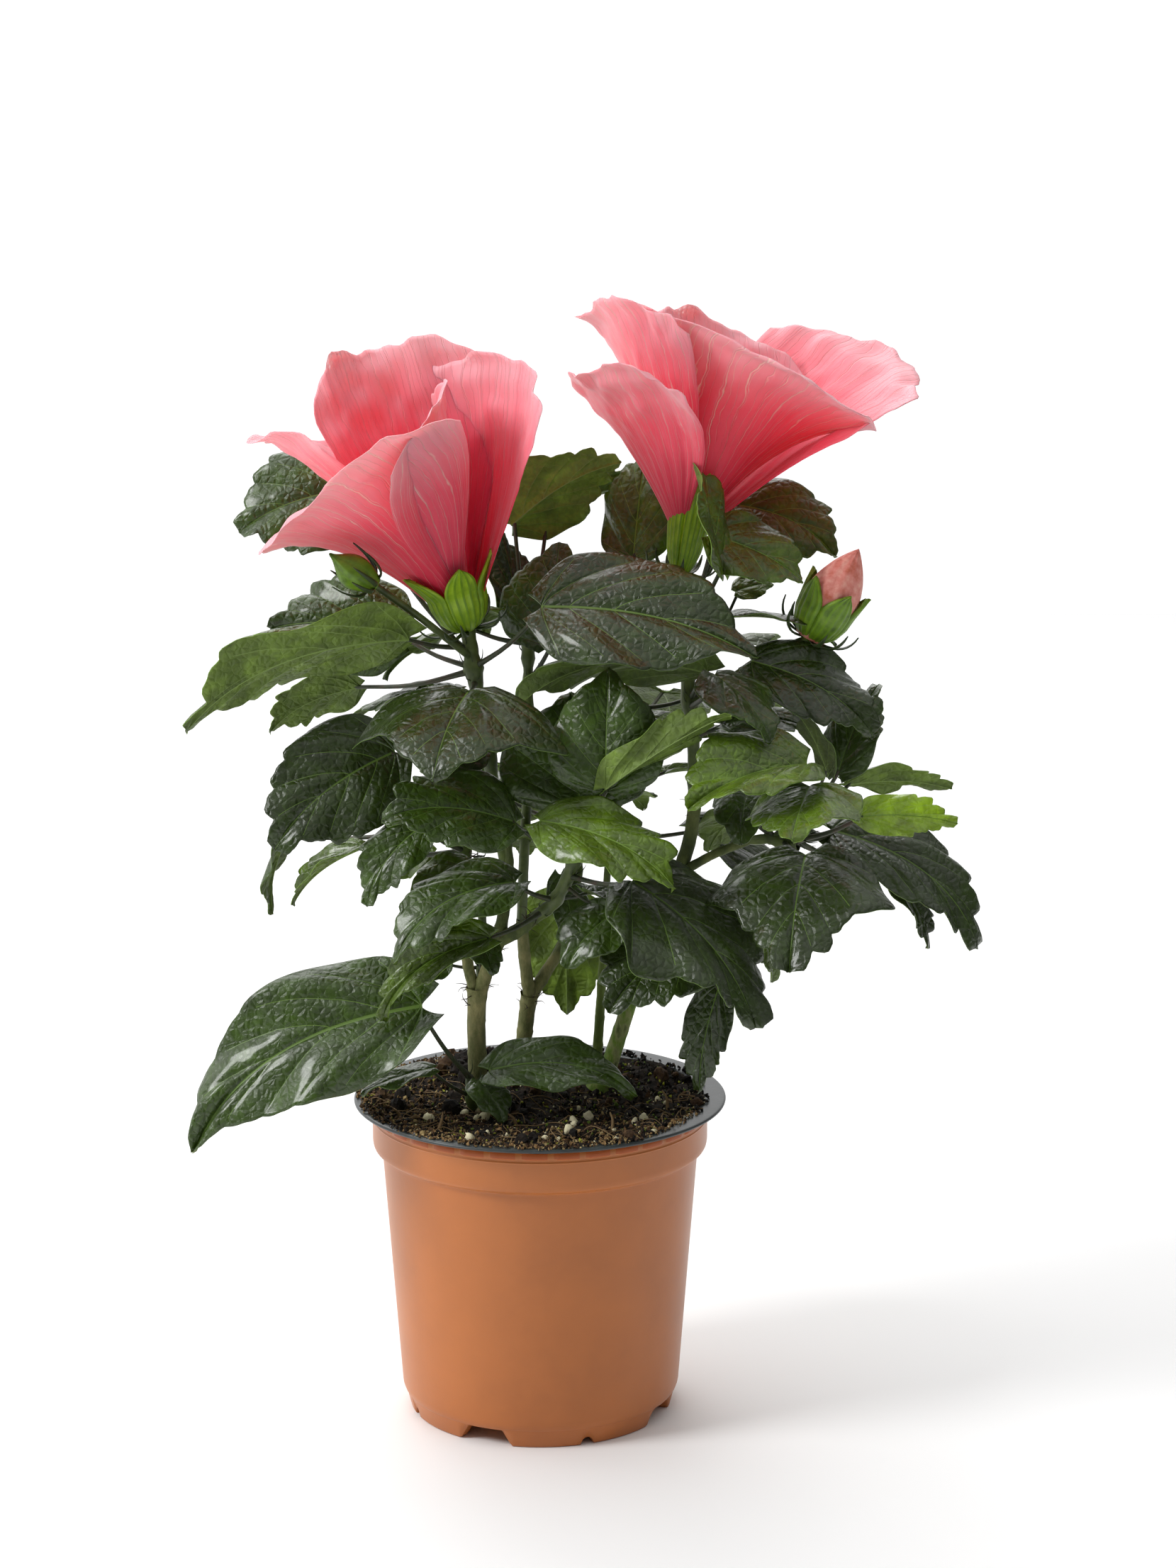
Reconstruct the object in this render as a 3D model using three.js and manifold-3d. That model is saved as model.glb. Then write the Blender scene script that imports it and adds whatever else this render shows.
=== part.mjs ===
// A flowering hibiscus in its nursery pot, in millimetres, +Z up, standing on z = 0.
// -Y is the side it is usually seen from. Directions round the plant are given in degrees,
// anticlockwise from +X as seen from above, and slopes in degrees above the level.

import * as THREE from 'three';
import { mergeVertices } from 'three/addons/utils/BufferGeometryUtils.js';
import Module from 'manifold-3d';

const wasm = await Module();
wasm.setup();

// ---------------------------------------------------------------- driving sizes

const GAP = 0.3; // clearance between neighbouring solids

const POT = {
  sides: 32,
  height: 104.2,
  lipRadius: 60,
  lipThickness: 1.3,
  collarRadius: 54.1,
  collarBottom: 88.5,
  shoulderRadius: 51,
  shoulderHeight: 86.5,
  bottomRadius: 45.1,
  cornerRadius: 44.1,
  cornerHeight: 6.4,
  footRadius: 42.5,
  footWall: 3.2,
  floorTop: 8,
  wall: 1.3,
  collarWall: 1.5,
};

const FEET = {
  count: 4,
  firstGap: -114, // direction of the middle of one gap between two feet
  gapWidth: 15,
  gapHeight: 5.4,
  gapSlant: 3.4,
  notchWidth: 4,
  notchHeight: 2.6,
};

const SOIL = {
  level: 103.3,
  roughness: 1.1,
  rings: 4,
  sides: 22,
  clearOfLip: 1.6,
  mound: { direction: 128, from: 30, height: 5, spread: 15 },
};

const STALK_RADIUS = 0.75;
const STALK_SUNK = 1.4; // how far a stalk runs on inside its blade
const LEAF_THICKNESS = 0.013; // of a leaf's length
const LEAF_STEPS = 6;
const SHORT_LEAVES = [26, 44]; // leaves under each of these lengths are made in a step less
const LEAST_THICKNESS = 0.35;
const SLIVER = 0.06; // finest detail that is kept where leaves and stalks join

// ---------------------------------------------------------------- materials

const finish = (color, roughness) =>
  new THREE.MeshStandardMaterial({ color, roughness, metalness: 0, flatShading: true });

const TERRACOTTA_PLASTIC = finish('#b0683c', 0.4);
const PEAT = finish('#2b211b', 0.95);
const OLD_BARK = finish('#8b8562', 0.8);
const GREEN_BARK = finish('#5c6b34', 0.7);
const FOLIAGE = finish('#2f4a2a', 0.4);
const CORAL = finish('#e8707c', 0.6);
const BUD_GREEN = finish('#6d8c2a', 0.55);

// ---------------------------------------------------------------- small helpers

const radians = THREE.MathUtils.degToRad;
const vector = ([x, y, z]) => new THREE.Vector3(x, y, z);
const mix = THREE.MathUtils.lerp;

/** The unit vector at a direction round the plant and a slope above the level. */
function aimed(turn, rise) {
  const level = Math.cos(radians(rise));
  return new THREE.Vector3(
    level * Math.cos(radians(turn)),
    level * Math.sin(radians(turn)),
    Math.sin(radians(rise)),
  );
}

/** Seeded dice, so that the plant grows the same way each time. */
function makeDice(seed) {
  let state = seed;
  return (low, high) => {
    state = (state * 16807) % 2147483647;
    return low + ((high - low) * state) / 2147483647;
  };
}

/** Keeps only the positions of a geometry and merges the corners that meet. */
function bare(geometry) {
  const plain = geometry.clone();
  plain.deleteAttribute('normal');
  plain.deleteAttribute('uv');
  return mergeVertices(plain, 1e-4);
}

function toSolid(geometry) {
  const merged = bare(geometry);
  return new wasm.Manifold(
    new wasm.Mesh({
      numProp: 3,
      vertProperties: new Float32Array(merged.attributes.position.array),
      triVerts: new Uint32Array(merged.index.array),
    }),
  );
}

function toGeometry(solid) {
  const mesh = solid.getMesh();
  const geometry = new THREE.BufferGeometry();
  geometry.setAttribute('position', new THREE.BufferAttribute(mesh.vertProperties, 3));
  geometry.setIndex(new THREE.BufferAttribute(mesh.triVerts, 1));
  return geometry;
}

/** The largest piece of a solid, without any scrap that a cut leaves loose. */
function withoutScraps(solid) {
  return solid.decompose().sort((a, b) => b.volume() - a.volume())[0];
}

/** Joins solids into one closed body, and merges the slivers where they meet. */
function fuse(solids) {
  return withoutScraps(wasm.Manifold.union(solids)).simplify(SLIVER);
}

const plant = new THREE.Group();

function addPiece(name, solid, material) {
  const mesh = new THREE.Mesh(toGeometry(solid), material);
  mesh.name = name;
  plant.add(mesh);
}

// ---------------------------------------------------------------- limbs

/** Directions across a curve at each step, turned as little as the curve allows. */
function carriedFrames(curve, steps) {
  const frames = [];
  let side = null;
  for (let step = 0; step <= steps; step += 1) {
    const t = step / steps;
    const ahead = curve.getPoint(Math.min(1, t + 0.01));
    const behind = curve.getPoint(Math.max(0, t - 0.01));
    const along = ahead.sub(behind).normalize();
    if (!side) {
      const helper = Math.abs(along.z) > 0.9 ? new THREE.Vector3(1, 0, 0) : new THREE.Vector3(0, 0, 1);
      side = helper.cross(along).normalize();
    }
    side = side.clone().addScaledVector(along, -side.dot(along)).normalize();
    frames.push({ at: curve.getPoint(t), along, side, out: side.clone().cross(along) });
  }
  return frames;
}

const smoothCurve = (points) =>
  new THREE.CatmullRomCurve3(points.map(vector), false, 'catmullrom', 0.5);

/**
 * A round limb along a curve; radiusAt says how thick it is from 0 to 1 along it.
 * With grow it is that much larger all over, as the room that neighbours leave free.
 */
function limbSolid(points, radiusAt, sides, steps, grow = 0) {
  const frames = carriedFrames(smoothCurve(points), steps);
  frames[0].at.addScaledVector(frames[0].along, -grow);
  frames[steps].at.addScaledVector(frames[steps].along, grow);
  const tube = new THREE.CylinderGeometry(1, 1, 1, sides, steps);
  const position = tube.attributes.position;
  for (let i = 0; i < position.count; i += 1) {
    const step = Math.round((position.getY(i) + 0.5) * steps);
    const frame = frames[step];
    const radius = radiusAt(step / steps) + grow;
    const corner = frame.at
      .clone()
      .addScaledVector(frame.side, position.getX(i) * radius)
      .addScaledVector(frame.out, position.getZ(i) * radius);
    position.setXYZ(i, corner.x, corner.y, corner.z);
  }
  return toSolid(tube);
}

/** A limb that tapers evenly, with an optional flare at its foot and knuckle at its tip. */
function taper({ from, to, flare = 0, knuckle = 0 }) {
  return (t) => mix(from, to, t) + flare * Math.exp(-t * 9) + knuckle * Math.exp((t - 1) * 12);
}

// Each limb's course, from the ground or the tip it forks from to where it forks or enters leaves.
const LIMBS = [
  {
    name: 'stem_front',
    course: [[-19.6, -8, 103.6], [-19.9, -8.6, 117], [-20.2, -9.2, 130], [-19.7, -9.8, 142.6]],
    radius: { from: 3.0, to: 2.9, flare: 0.6, knuckle: 0.8 },
  },
  {
    name: 'bough_front_left',
    course: [[-20.2, -9.8, 140], [-22.8, -11.8, 152], [-23.1, -13.6, 169], [-23, -14, 185.8]],
    radius: { from: 1.9, to: 1.6, knuckle: 0.3 },
  },
  {
    name: 'bough_front_right',
    course: [[-19, -10.4, 141], [-16.4, -13, 149.4], [-12.8, -17.4, 160]],
    radius: { from: 2.2, to: 2.1, knuckle: 0.5 },
  },
  {
    name: 'bough_centre_left',
    course: [[-13, -17.2, 158.6], [-10.9, -17, 170], [-9.3, -15.4, 180.8], [-9.8, -15, 193.4]],
    radius: { from: 2.1, to: 1.2 },
  },
  {
    name: 'bough_centre_right',
    course: [[-12.6, -17.8, 159.8], [-6.4, -20.6, 164], [-1.6, -21.8, 168]],
    radius: { from: 2.3, to: 2.1 },
  },
  {
    name: 'stem_middle',
    course: [[-5.6, 15, 103.6], [-5.6, 15, 115], [-4.7, 14, 125], [-3.4, 12.4, 134.4]],
    radius: { from: 2.7, to: 2.5, flare: 0.7, knuckle: 0.7 },
  },
  {
    name: 'bough_middle_left',
    course: [[-3.4, 12.2, 133], [-4.9, 9.6, 146], [-5.8, 6, 161]],
    radius: { from: 2.1, to: 1.8 },
  },
  {
    name: 'bough_middle_right',
    course: [[-2.6, 12.4, 134], [2, 13.2, 141.6], [6.6, 14.4, 149], [9.9, 16, 157.6]],
    radius: { from: 2.1, to: 1.7 },
  },
  {
    name: 'stem_thin',
    course: [[18.2, 23.2, 103.6], [19, 22.4, 118], [20.2, 20.4, 140], [21.4, 20, 167]],
    radius: { from: 1.7, to: 1.3, flare: 0.4 },
  },
  {
    name: 'stem_right',
    course: [[18.8, 6, 103.6], [23.4, 6, 115.3], [31, 2.4, 141], [38.3, 0.4, 164], [44.6, -0.6, 178.8]],
    radius: { from: 2.6, to: 2.1, flare: 1.6, knuckle: 0.4 },
  },
  {
    name: 'bough_right_up',
    course: [[44.4, -0.4, 177.4], [47.8, 0, 188], [49.3, 0, 199]],
    radius: { from: 2.2, to: 2.1 },
  },
  {
    name: 'bough_right_out',
    course: [[44.8, -0.8, 177.6], [55, -5, 184.6], [66.5, -8, 190]],
    radius: { from: 1.5, to: 1.3 },
  },
];

const LIMB_SIDES = 7;
const SHOOT_SIDES = 5;

/** The room round each limb that is already placed, which later solids leave free. */
const keptFree = [];

function clearOfLimbs(solid) {
  return withoutScraps(wasm.Manifold.difference([solid, ...keptFree]));
}

/** Each limb is cut clear of the ones it forks from, and then keeps its own room free. */
function addLimbs() {
  for (const { name, course, radius } of LIMBS) {
    const steps = (course.length - 1) * 2;
    const limb = clearOfLimbs(limbSolid(course, taper(radius), LIMB_SIDES, steps));
    addPiece(name, limb, name.startsWith('stem') ? OLD_BARK : GREEN_BARK);
    keptFree.push(limbSolid(course, taper(radius), LIMB_SIDES, steps, GAP));
  }
}

// ---------------------------------------------------------------- leaves

/**
 * Half of a leaf's outline, from the joint (0) to the tip (1): how far each point lies
 * along the leaf and how far out from its middle, both as shares of the leaf's length.
 */
function leafOutline(u, { wide, lobes, heart }) {
  const along = u - heart * (1 - u) ** 4 + 0.2 * u * (1 - u) ** 2;
  const belly = 2.37 * (u + 0.05) ** 0.5 * (1 - u) ** 0.95 * (1 - 0.25 * u ** 4);
  const shoulder = 0.25 * Math.exp(-(((u - 0.38) / 0.1) ** 2));
  const waist = 0.3 * Math.exp(-(((u - 0.66) / 0.15) ** 2));
  return { along, out: (wide / 2) * belly * (1 + lobes * (shoulder - waist)) };
}

/** The leaf's midrib as a row of points with the directions along, across and up from it. */
function leafSpine(joint, leaf, steps) {
  const { blade, point, aim, droop, bend, roll, twist } = leaf;
  const spine = [];
  const at = joint.clone();
  for (let step = 0; step <= steps; step += 1) {
    const u = step / steps;
    const slope = aim - droop * u ** 1.5;
    const heading = point + bend * u;
    const along = aimed(heading, slope);
    const level = new THREE.Vector3(-Math.sin(radians(heading)), Math.cos(radians(heading)), 0);
    const across = level.applyAxisAngle(along, radians(roll + twist * u));
    spine.push({ at: at.clone(), along, across, up: along.clone().cross(across) });
    const middle = (step + 0.5) / steps;
    at.addScaledVector(aimed(point + bend * middle, aim - droop * middle ** 1.5), blade / steps);
  }
  return spine;
}

const LEAF_HABIT = {
  wide: 0.8,
  aim: 0,
  droop: 40,
  bend: 0,
  roll: 0,
  twist: 0,
  fold: 14,
  curl: 0.35,
  lobes: 0,
  heart: 0.07,
};

/**
 * A leaf's blade: a thin plate in the leaf's outline, bent along its midrib, folded at
 * it and curled at its edges.
 */
function bladeSolid(joint, leaf) {
  const steps = LEAF_STEPS - SHORT_LEAVES.filter((length) => leaf.blade < length).length;
  const spine = leafSpine(joint, leaf, steps);
  const plate = new THREE.BoxGeometry(1, 1, 1, steps, 2, 1);
  const position = plate.attributes.position;
  const thickness = Math.max(LEAST_THICKNESS, leaf.blade * LEAF_THICKNESS);
  const leastOut = 0.4 / leaf.blade;
  for (let i = 0; i < position.count; i += 1) {
    const step = Math.round((position.getX(i) + 0.5) * steps);
    const u = step / steps;
    const v = position.getY(i) * 2;
    const { along, out } = leafOutline(u, leaf);
    const ahead = Math.abs(v) * (along - u) * leaf.blade;
    const aside = v * Math.max(out, leastOut) * leaf.blade;
    const reach = Math.abs(aside);
    const lift = reach * Math.sin(radians(leaf.fold)) - (leaf.curl * reach * reach) / (leaf.blade * 0.5);
    const { at, along: forward, across, up } = spine[step];
    const corner = at
      .clone()
      .addScaledVector(forward, ahead)
      .addScaledVector(across, aside * Math.cos(radians(leaf.fold)))
      .addScaledVector(up, lift + position.getZ(i) * thickness);
    position.setXYZ(i, corner.x, corner.y, corner.z);
  }
  return toSolid(plate);
}

/** A leaf's stalk: a slim rod that sags a little and ends inside the blade's midrib. */
function stalkSolid(foot, joint, leaf) {
  const sag = foot.distanceTo(joint) * 0.05;
  const end = joint.clone().addScaledVector(aimed(leaf.point, leaf.aim), STALK_SUNK);
  const middle = foot.clone().lerp(end, 0.5).add(new THREE.Vector3(0, 0, -sag));
  const course = [foot, middle, end].map((spot) => spot.toArray());
  return limbSolid(course, (t) => STALK_RADIUS * mix(1.25, 0.75, t), 3, 2);
}

/** One leaf with its stalk, from a place on its twig. */
function leafSolids(foot, described) {
  const leaf = { ...LEAF_HABIT, point: described.turn, ...described };
  const joint = foot.clone().addScaledVector(aimed(leaf.turn, leaf.rise), leaf.stalk);
  return [stalkSolid(foot, joint, leaf), bladeSolid(joint, leaf)];
}

// Each mass of foliage: its stem, the twigs that fork from it and the leaves along them.
//   at     how far along the stem the stalk starts, from 0 to 1
//   turn   direction the stalk takes round the plant        rise   its slope
//   stalk  its length                                       blade  the blade's length
//   point  the blade's own direction, if it isn't the stalk's
//   aim    the blade's slope where it starts                droop  how far it bends down by its tip
//   roll   how far the blade is rolled about its midrib     wide   its width as a share of its length
//   fold, curl, bend, twist, lobes   the finer shape
const MASSES = [
  {
    name: 'foliage_foot',
    stem: [[-21.2, -15, 103.6], [-21.8, -15.4, 109], [-22, -15, 114]],
    radius: { from: 1.4, to: 1.1 },
    leaves: [
      { at: 1, turn: 230, rise: 52, stalk: 36, blade: 90, point: 186, aim: -8, droop: 62, roll: -52, wide: 0.5, curl: 0.4 },
      { at: 0.7, turn: 303, rise: 36, stalk: 14, blade: 50, point: 352, aim: 16, droop: 62, roll: 34, wide: 0.44 },
      { at: 0.3, turn: 290, rise: 50, stalk: 11, blade: 18, point: 305, aim: -20, droop: 45, wide: 0.8 },
      { at: 0.4, turn: 212, rise: 40, stalk: 18, blade: 25, point: 196, aim: -8, droop: 20, roll: -12, wide: 0.46 },
    ],
  },
  {
    name: 'foliage_front',
    stem: [[-18.8, -8.4, 142], [-17.9, -6, 153], [-18.4, -5, 169], [-19.1, -4, 184]],
    radius: { from: 1.5, to: 1.2 },
    leaves: [
      { at: 0.2, turn: 187, rise: 10, stalk: 11, blade: 14, point: 212, aim: -10, droop: 40, roll: -30, wide: 0.7 },
      { at: 0.16, turn: 264, rise: 44, stalk: 22, blade: 16, point: 300, aim: -20, droop: 50, wide: 0.8 },
      { at: 0.38, turn: 178, rise: 4, stalk: 13, blade: 10, point: 223, aim: -10, droop: 40, roll: -50, wide: 0.9 },
      { at: 0.98, turn: 267, rise: 4, stalk: 20, blade: 22, point: 200, aim: -4, droop: 45, roll: -40, wide: 0.8 },
      { at: 0.95, turn: 140, rise: 0, stalk: 20, blade: 20, point: 160, aim: -20, droop: 45, roll: -30, wide: 0.7 },
    ],
  },
  {
    name: 'foliage_left_low',
    stem: [[-23, -14, 185.8], [-24.4, -11.4, 196], [-26, -8, 207]],
    radius: { from: 1.5, to: 1 },
    leaves: [
      { at: 0.1, turn: 157, rise: -3, stalk: 36, blade: 32, point: 170, aim: -24, droop: 42, roll: -20, wide: 0.4, fold: 40 },
      { at: 0.6, turn: 156, rise: -10, stalk: 63, blade: 29, point: 160, aim: -62, droop: 40, roll: -10, wide: 0.66 },
      { at: 0.1, turn: 228, rise: 34, stalk: 21, blade: 33, point: 207, aim: -30, droop: 52, roll: -40, wide: 0.56 },
    ],
  },
  {
    name: 'foliage_left',
    stem: [[-9.6, -14.8, 179], [-12.8, -13.2, 197], [-15.7, -12, 220], [-19.3, -10, 239], [-22, -8, 257.2]],
    radius: { from: 1.8, to: 2.1 },
    leaves: [
      { at: 0.46, turn: 186, rise: 7, stalk: 30, blade: 51, point: 207, aim: -18, droop: 40, roll: -62, wide: 0.76 },
      { at: 0.5, turn: 262, rise: 10, stalk: 6, blade: 18, point: 206, aim: -8, droop: 40, roll: -50, wide: 0.7 },
      { at: 0.78, turn: 266, rise: 2, stalk: 19, blade: 42, point: 253, aim: -14, droop: 45, wide: 1.5, lobes: 0.7 },
      { at: 0.83, turn: 159, rise: -11, stalk: 40, blade: 34, point: 176, aim: -12, droop: 40, roll: 50, wide: 0.6 },
      { at: 0.84, turn: 150, rise: 17, stalk: 27, blade: 46, point: 164, aim: 12, droop: 30, roll: -62, wide: 0.75 },
      { at: 0.93, turn: 210, rise: 12, stalk: 22, blade: 78, point: 188, aim: -2, droop: 50, roll: 40, wide: 0.5 },
      { at: 0.84, turn: 313, rise: 36, stalk: 39, blade: 70, point: 347, aim: 2, droop: 34, roll: 46, wide: 0.62 },
      { at: 0.87, turn: 145, rise: 47, stalk: 69, blade: 40, point: 177, aim: -8, droop: 34, roll: -62, wide: 0.95 },
    ],
    twigs: [{ at: 0.88, course: [[-26, -15, 254], [-31, -18.4, 261], [-37, -21.4, 268]], radius: { from: 1.2, to: 1.1 } }],
  },
  {
    name: 'foliage_centre',
    stem: [[-1.6, -21.8, 168], [4.7, -23, 173.6], [9.4, -24.2, 182.4], [12.6, -25.4, 193], [13.8, -25.4, 205]],
    radius: { from: 2, to: 1.2 },
    leaves: [
      { at: 0.14, turn: 218, rise: -15, stalk: 22, blade: 45, point: 190, aim: -12, droop: 62, roll: -44, wide: 0.42, fold: 36 },
      { at: 0.27, turn: 217, rise: 28, stalk: 17, blade: 50, point: 205, aim: 0, droop: 72, roll: -24, wide: 0.54 },
      { at: 0.5, turn: 319, rise: 5, stalk: 26, blade: 62, point: 330, aim: -24, droop: 50, roll: 12, wide: 0.85, lobes: 0.7 },
      { at: 0.42, turn: 330, rise: -18, stalk: 20, blade: 25, point: 210, aim: -24, droop: 46, roll: -30, wide: 0.86 },
      { at: 0.62, turn: 209, rise: 35, stalk: 25, blade: 44, point: 195, aim: 22, droop: 45, roll: -46, wide: 0.66 },
      { at: 0.6, turn: 300, rise: 78, stalk: 19, blade: 38, point: 100, aim: 74, droop: 26, wide: 1.3 },
      { at: 0.86, turn: 295, rise: 40, stalk: 23, blade: 39, point: 84, aim: 82, droop: 24, wide: 0.95 },
      { at: 0.88, turn: 240, rise: 13, stalk: 26, blade: 42, point: 340, aim: -4, droop: 46, roll: 30, wide: 0.66 },
    ],
  },
  {
    name: 'foliage_right_up',
    stem: [[49.3, 0, 199], [48.9, 1, 218], [47.3, 3, 237], [45.6, 4, 256], [44.2, 4, 273]],
    radius: { from: 2, to: 1.9 },
    leaves: [
      { at: 0.45, turn: 290, rise: 38, stalk: 19, blade: 64, point: 192, aim: 16, droop: 60, roll: 40, wide: 0.5 },
      { at: 0.77, turn: 138, rise: 42, stalk: 28, blade: 36, point: 60, aim: 80, droop: 10, roll: 0, wide: 0.75 },
      { at: 0.74, turn: 296, rise: 40, stalk: 34, blade: 38, point: 205, aim: 76, droop: 24, roll: 10, wide: 0.8 },
      { at: 0.82, turn: 40, rise: 56, stalk: 39, blade: 38, point: 345, aim: -6, droop: 50, roll: 50, wide: 0.72 },
      { at: 0.46, turn: 325, rise: 31, stalk: 27, blade: 46, point: 345, aim: -12, droop: 44, roll: 34, wide: 0.66 },
      { at: 0.42, turn: 283, rise: 28, stalk: 33, blade: 31, point: 315, aim: -20, droop: 45, wide: 0.9, lobes: 0.5 },
      { at: 0.5, turn: 29, rise: 60, stalk: 34, blade: 13, point: 11, aim: 20, droop: 30, roll: 40, wide: 0.8 },
    ],
    twigs: [{ at: 0.45, course: [[56, 0.6, 236.6], [67, -1.4, 245], [76, -2.8, 250], [84.6, -3.8, 253.6]], radius: { from: 1.5, to: 1.7 } }],
  },
  {
    name: 'foliage_right_out',
    stem: [[66.5, -8, 190], [72, -10.4, 191], [77, -12, 191], [81.6, -13.4, 191.4]],
    radius: { from: 1.3, to: 1.1 },
    leaves: [
      { at: 0.7, turn: 281, rise: 48, stalk: 40, blade: 46, point: 212, aim: 2, droop: 36, roll: -20, wide: 0.9, fold: 34 },
      { at: 1, turn: 327, rise: 25, stalk: 24, blade: 31, point: 352, aim: 6, droop: 22, roll: 66, wide: 0.44 },
      { at: 0.95, turn: 21, rise: 45, stalk: 24, blade: 35, point: 7, aim: 6, droop: 26, roll: -40, wide: 0.5 },
      { at: 0.9, turn: 0, rise: 57, stalk: 25, blade: 33, point: 42, aim: 66, droop: 26, roll: 20, wide: 0.6 },
      { at: 0.85, turn: 332, rise: 61, stalk: 26, blade: 25, point: 199, aim: 70, droop: 24, roll: 10, wide: 0.6 },
      { at: 0.65, turn: 285, rise: 1, stalk: 23, blade: 47, point: 259, aim: -20, droop: 50, wide: 1.1, lobes: 0.8 },
      { at: 1, turn: 58, rise: -3, stalk: 22, blade: 64, point: 352, aim: -14, droop: 62, roll: 30, wide: 0.5 },
      { at: 0.9, turn: 34, rise: -21, stalk: 39, blade: 31, point: 352, aim: -44, droop: 40, roll: 20, wide: 0.46 },
      { at: 0.5, turn: 180, rise: 64, stalk: 20, blade: 26, point: 261, aim: -20, droop: 46, roll: 0, wide: 0.8 },
    ],
  },
  {
    name: 'foliage_middle',
    stem: [[-5.8, 6, 161], [-4.9, 6, 184], [-3.8, 8, 206], [-3.6, 10, 229], [-3.5, 10, 250]],
    radius: { from: 1.7, to: 1.5 },
    leaves: [
      { at: 0.85, turn: 307, rise: 45, stalk: 19, blade: 34, point: 80, aim: 80, droop: 24, wide: 1.1 },
      { at: 0.94, turn: 106, rise: 43, stalk: 14, blade: 31, point: 129, aim: 76, droop: 14, wide: 0.6 },
      { at: 0.95, turn: 112, rise: 70, stalk: 43, blade: 43, point: 344, aim: 42, droop: 30, roll: -56, wide: 0.7, lobes: 0.5 },
      { at: 1, turn: 76, rise: 61, stalk: 43, blade: 32, point: 0, aim: 38, droop: 24, roll: -50, wide: 0.5 },
    ],
    spiral: { seed: 8, count: 3, from: 0.5, facing: 165, spread: 25 },
  },
  {
    name: 'foliage_right_low',
    stem: [[38.6, 0, 164], [42.4, -11, 168], [46.4, -19, 170]],
    radius: { from: 1.3, to: 1 },
    leaves: [
      { at: 0.9, turn: 293, rise: -14, stalk: 16, blade: 42, point: 212, aim: -14, droop: 42, roll: -36, wide: 0.78 },
      { at: 0.7, turn: 313, rise: -48, stalk: 28, blade: 35, point: 220, aim: -66, droop: 26, roll: -20, wide: 0.48 },
      { at: 0.3, turn: 8, rise: 5, stalk: 26, blade: 28, point: 350, aim: -60, droop: 34, roll: 20, wide: 0.6 },
    ],
  },
  {
    name: 'foliage_back_left',
    stem: [[9.9, 16, 157.6], [12, 22, 170], [12, 30, 184], [9, 37, 198], [6, 41, 211]],
    radius: { from: 1.5, to: 1 },
    leaves: [
      { at: 0.3, turn: 215, rise: -2, stalk: 7, blade: 26, point: 300, aim: -56, droop: 30, wide: 0.56 },
      { at: 0.1, turn: 100, rise: -8, stalk: 20, blade: 46, point: 85, aim: -60, droop: 36, wide: 0.72 },
    ],
    spiral: { seed: 5, count: 5, from: 0.4, facing: 124, spread: 46 },
  },
  {
    name: 'foliage_back_right',
    stem: [[21.4, 20, 167], [23, 24, 187], [26, 30, 206], [28, 36, 224]],
    radius: { from: 1.2, to: 0.9 },
    leaves: [],
    spiral: { seed: 21, count: 6, from: 0.3, facing: 44, spread: 54 },
  },
];

/** Leaves towards the back of a shoot, a golden share of the spread apart, as they spiral up. */
function spiralLeaves({ seed, count, from, facing, spread }) {
  const dice = makeDice(seed);
  const leaves = [];
  for (let i = 0; i < count; i += 1) {
    const share = (0.2 + i * 0.618) % 1;
    const turn = facing + spread * (share * 2 - 1);
    leaves.push({
      at: mix(from, 1, i / (count - 1)),
      turn,
      rise: dice(0, 35),
      stalk: dice(18, 30),
      blade: dice(36, 48),
      point: turn + dice(-25, 25),
      aim: dice(-25, 10),
      droop: dice(35, 55),
      roll: dice(-20, 20),
      wide: dice(0.62, 0.82),
    });
  }
  return leaves;
}

function addFoliage() {
  for (const { name, stem, radius, leaves, twigs = [], spiral } of MASSES) {
    const curve = smoothCurve(stem);
    const shoot = [{ course: stem, radius }];
    for (const twig of twigs) {
      shoot.push({ course: [curve.getPoint(twig.at).toArray(), ...twig.course], radius: twig.radius });
    }
    const grow = (room) => shoot.map(({ course, radius: along }) =>
      limbSolid(course, taper(along), SHOOT_SIDES, (course.length - 1) * 2, room));
    const parts = [clearOfLimbs(wasm.Manifold.union(grow(0)))];
    keptFree.push(...grow(GAP));
    for (const leaf of [...leaves, ...(spiral ? spiralLeaves(spiral) : [])]) {
      parts.push(...leafSolids(curve.getPoint(leaf.at), leaf));
    }
    addPiece(name, fuse(parts), FOLIAGE);
  }
}

// ---------------------------------------------------------------- pot and soil

/** The pot's section, from the middle of its underside round the outside and back inside. */
function potProfile() {
  const { height, lipRadius, lipThickness, collarRadius, collarBottom, collarWall } = POT;
  const { shoulderRadius, shoulderHeight, bottomRadius, cornerRadius, cornerHeight } = POT;
  const { footRadius, footWall, floorTop, wall } = POT;
  const floorBottom = cornerHeight;
  return [
    [0, floorBottom],
    [footRadius - footWall, floorBottom],
    [footRadius - footWall, 0],
    [footRadius, 0],
    [cornerRadius, cornerHeight],
    [bottomRadius, cornerHeight + 1.6],
    [shoulderRadius, shoulderHeight],
    [collarRadius, collarBottom],
    [collarRadius, height - lipThickness],
    [lipRadius, height - lipThickness],
    [lipRadius, height],
    [collarRadius - collarWall, height],
    [collarRadius - collarWall, collarBottom + 0.6],
    [shoulderRadius - wall, shoulderHeight - 1],
    [bottomRadius - wall, floorTop + 1.4],
    [bottomRadius - wall - 1.4, floorTop],
    [0, floorTop],
  ].map(([radius, up]) => new THREE.Vector2(radius, up));
}

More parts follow.
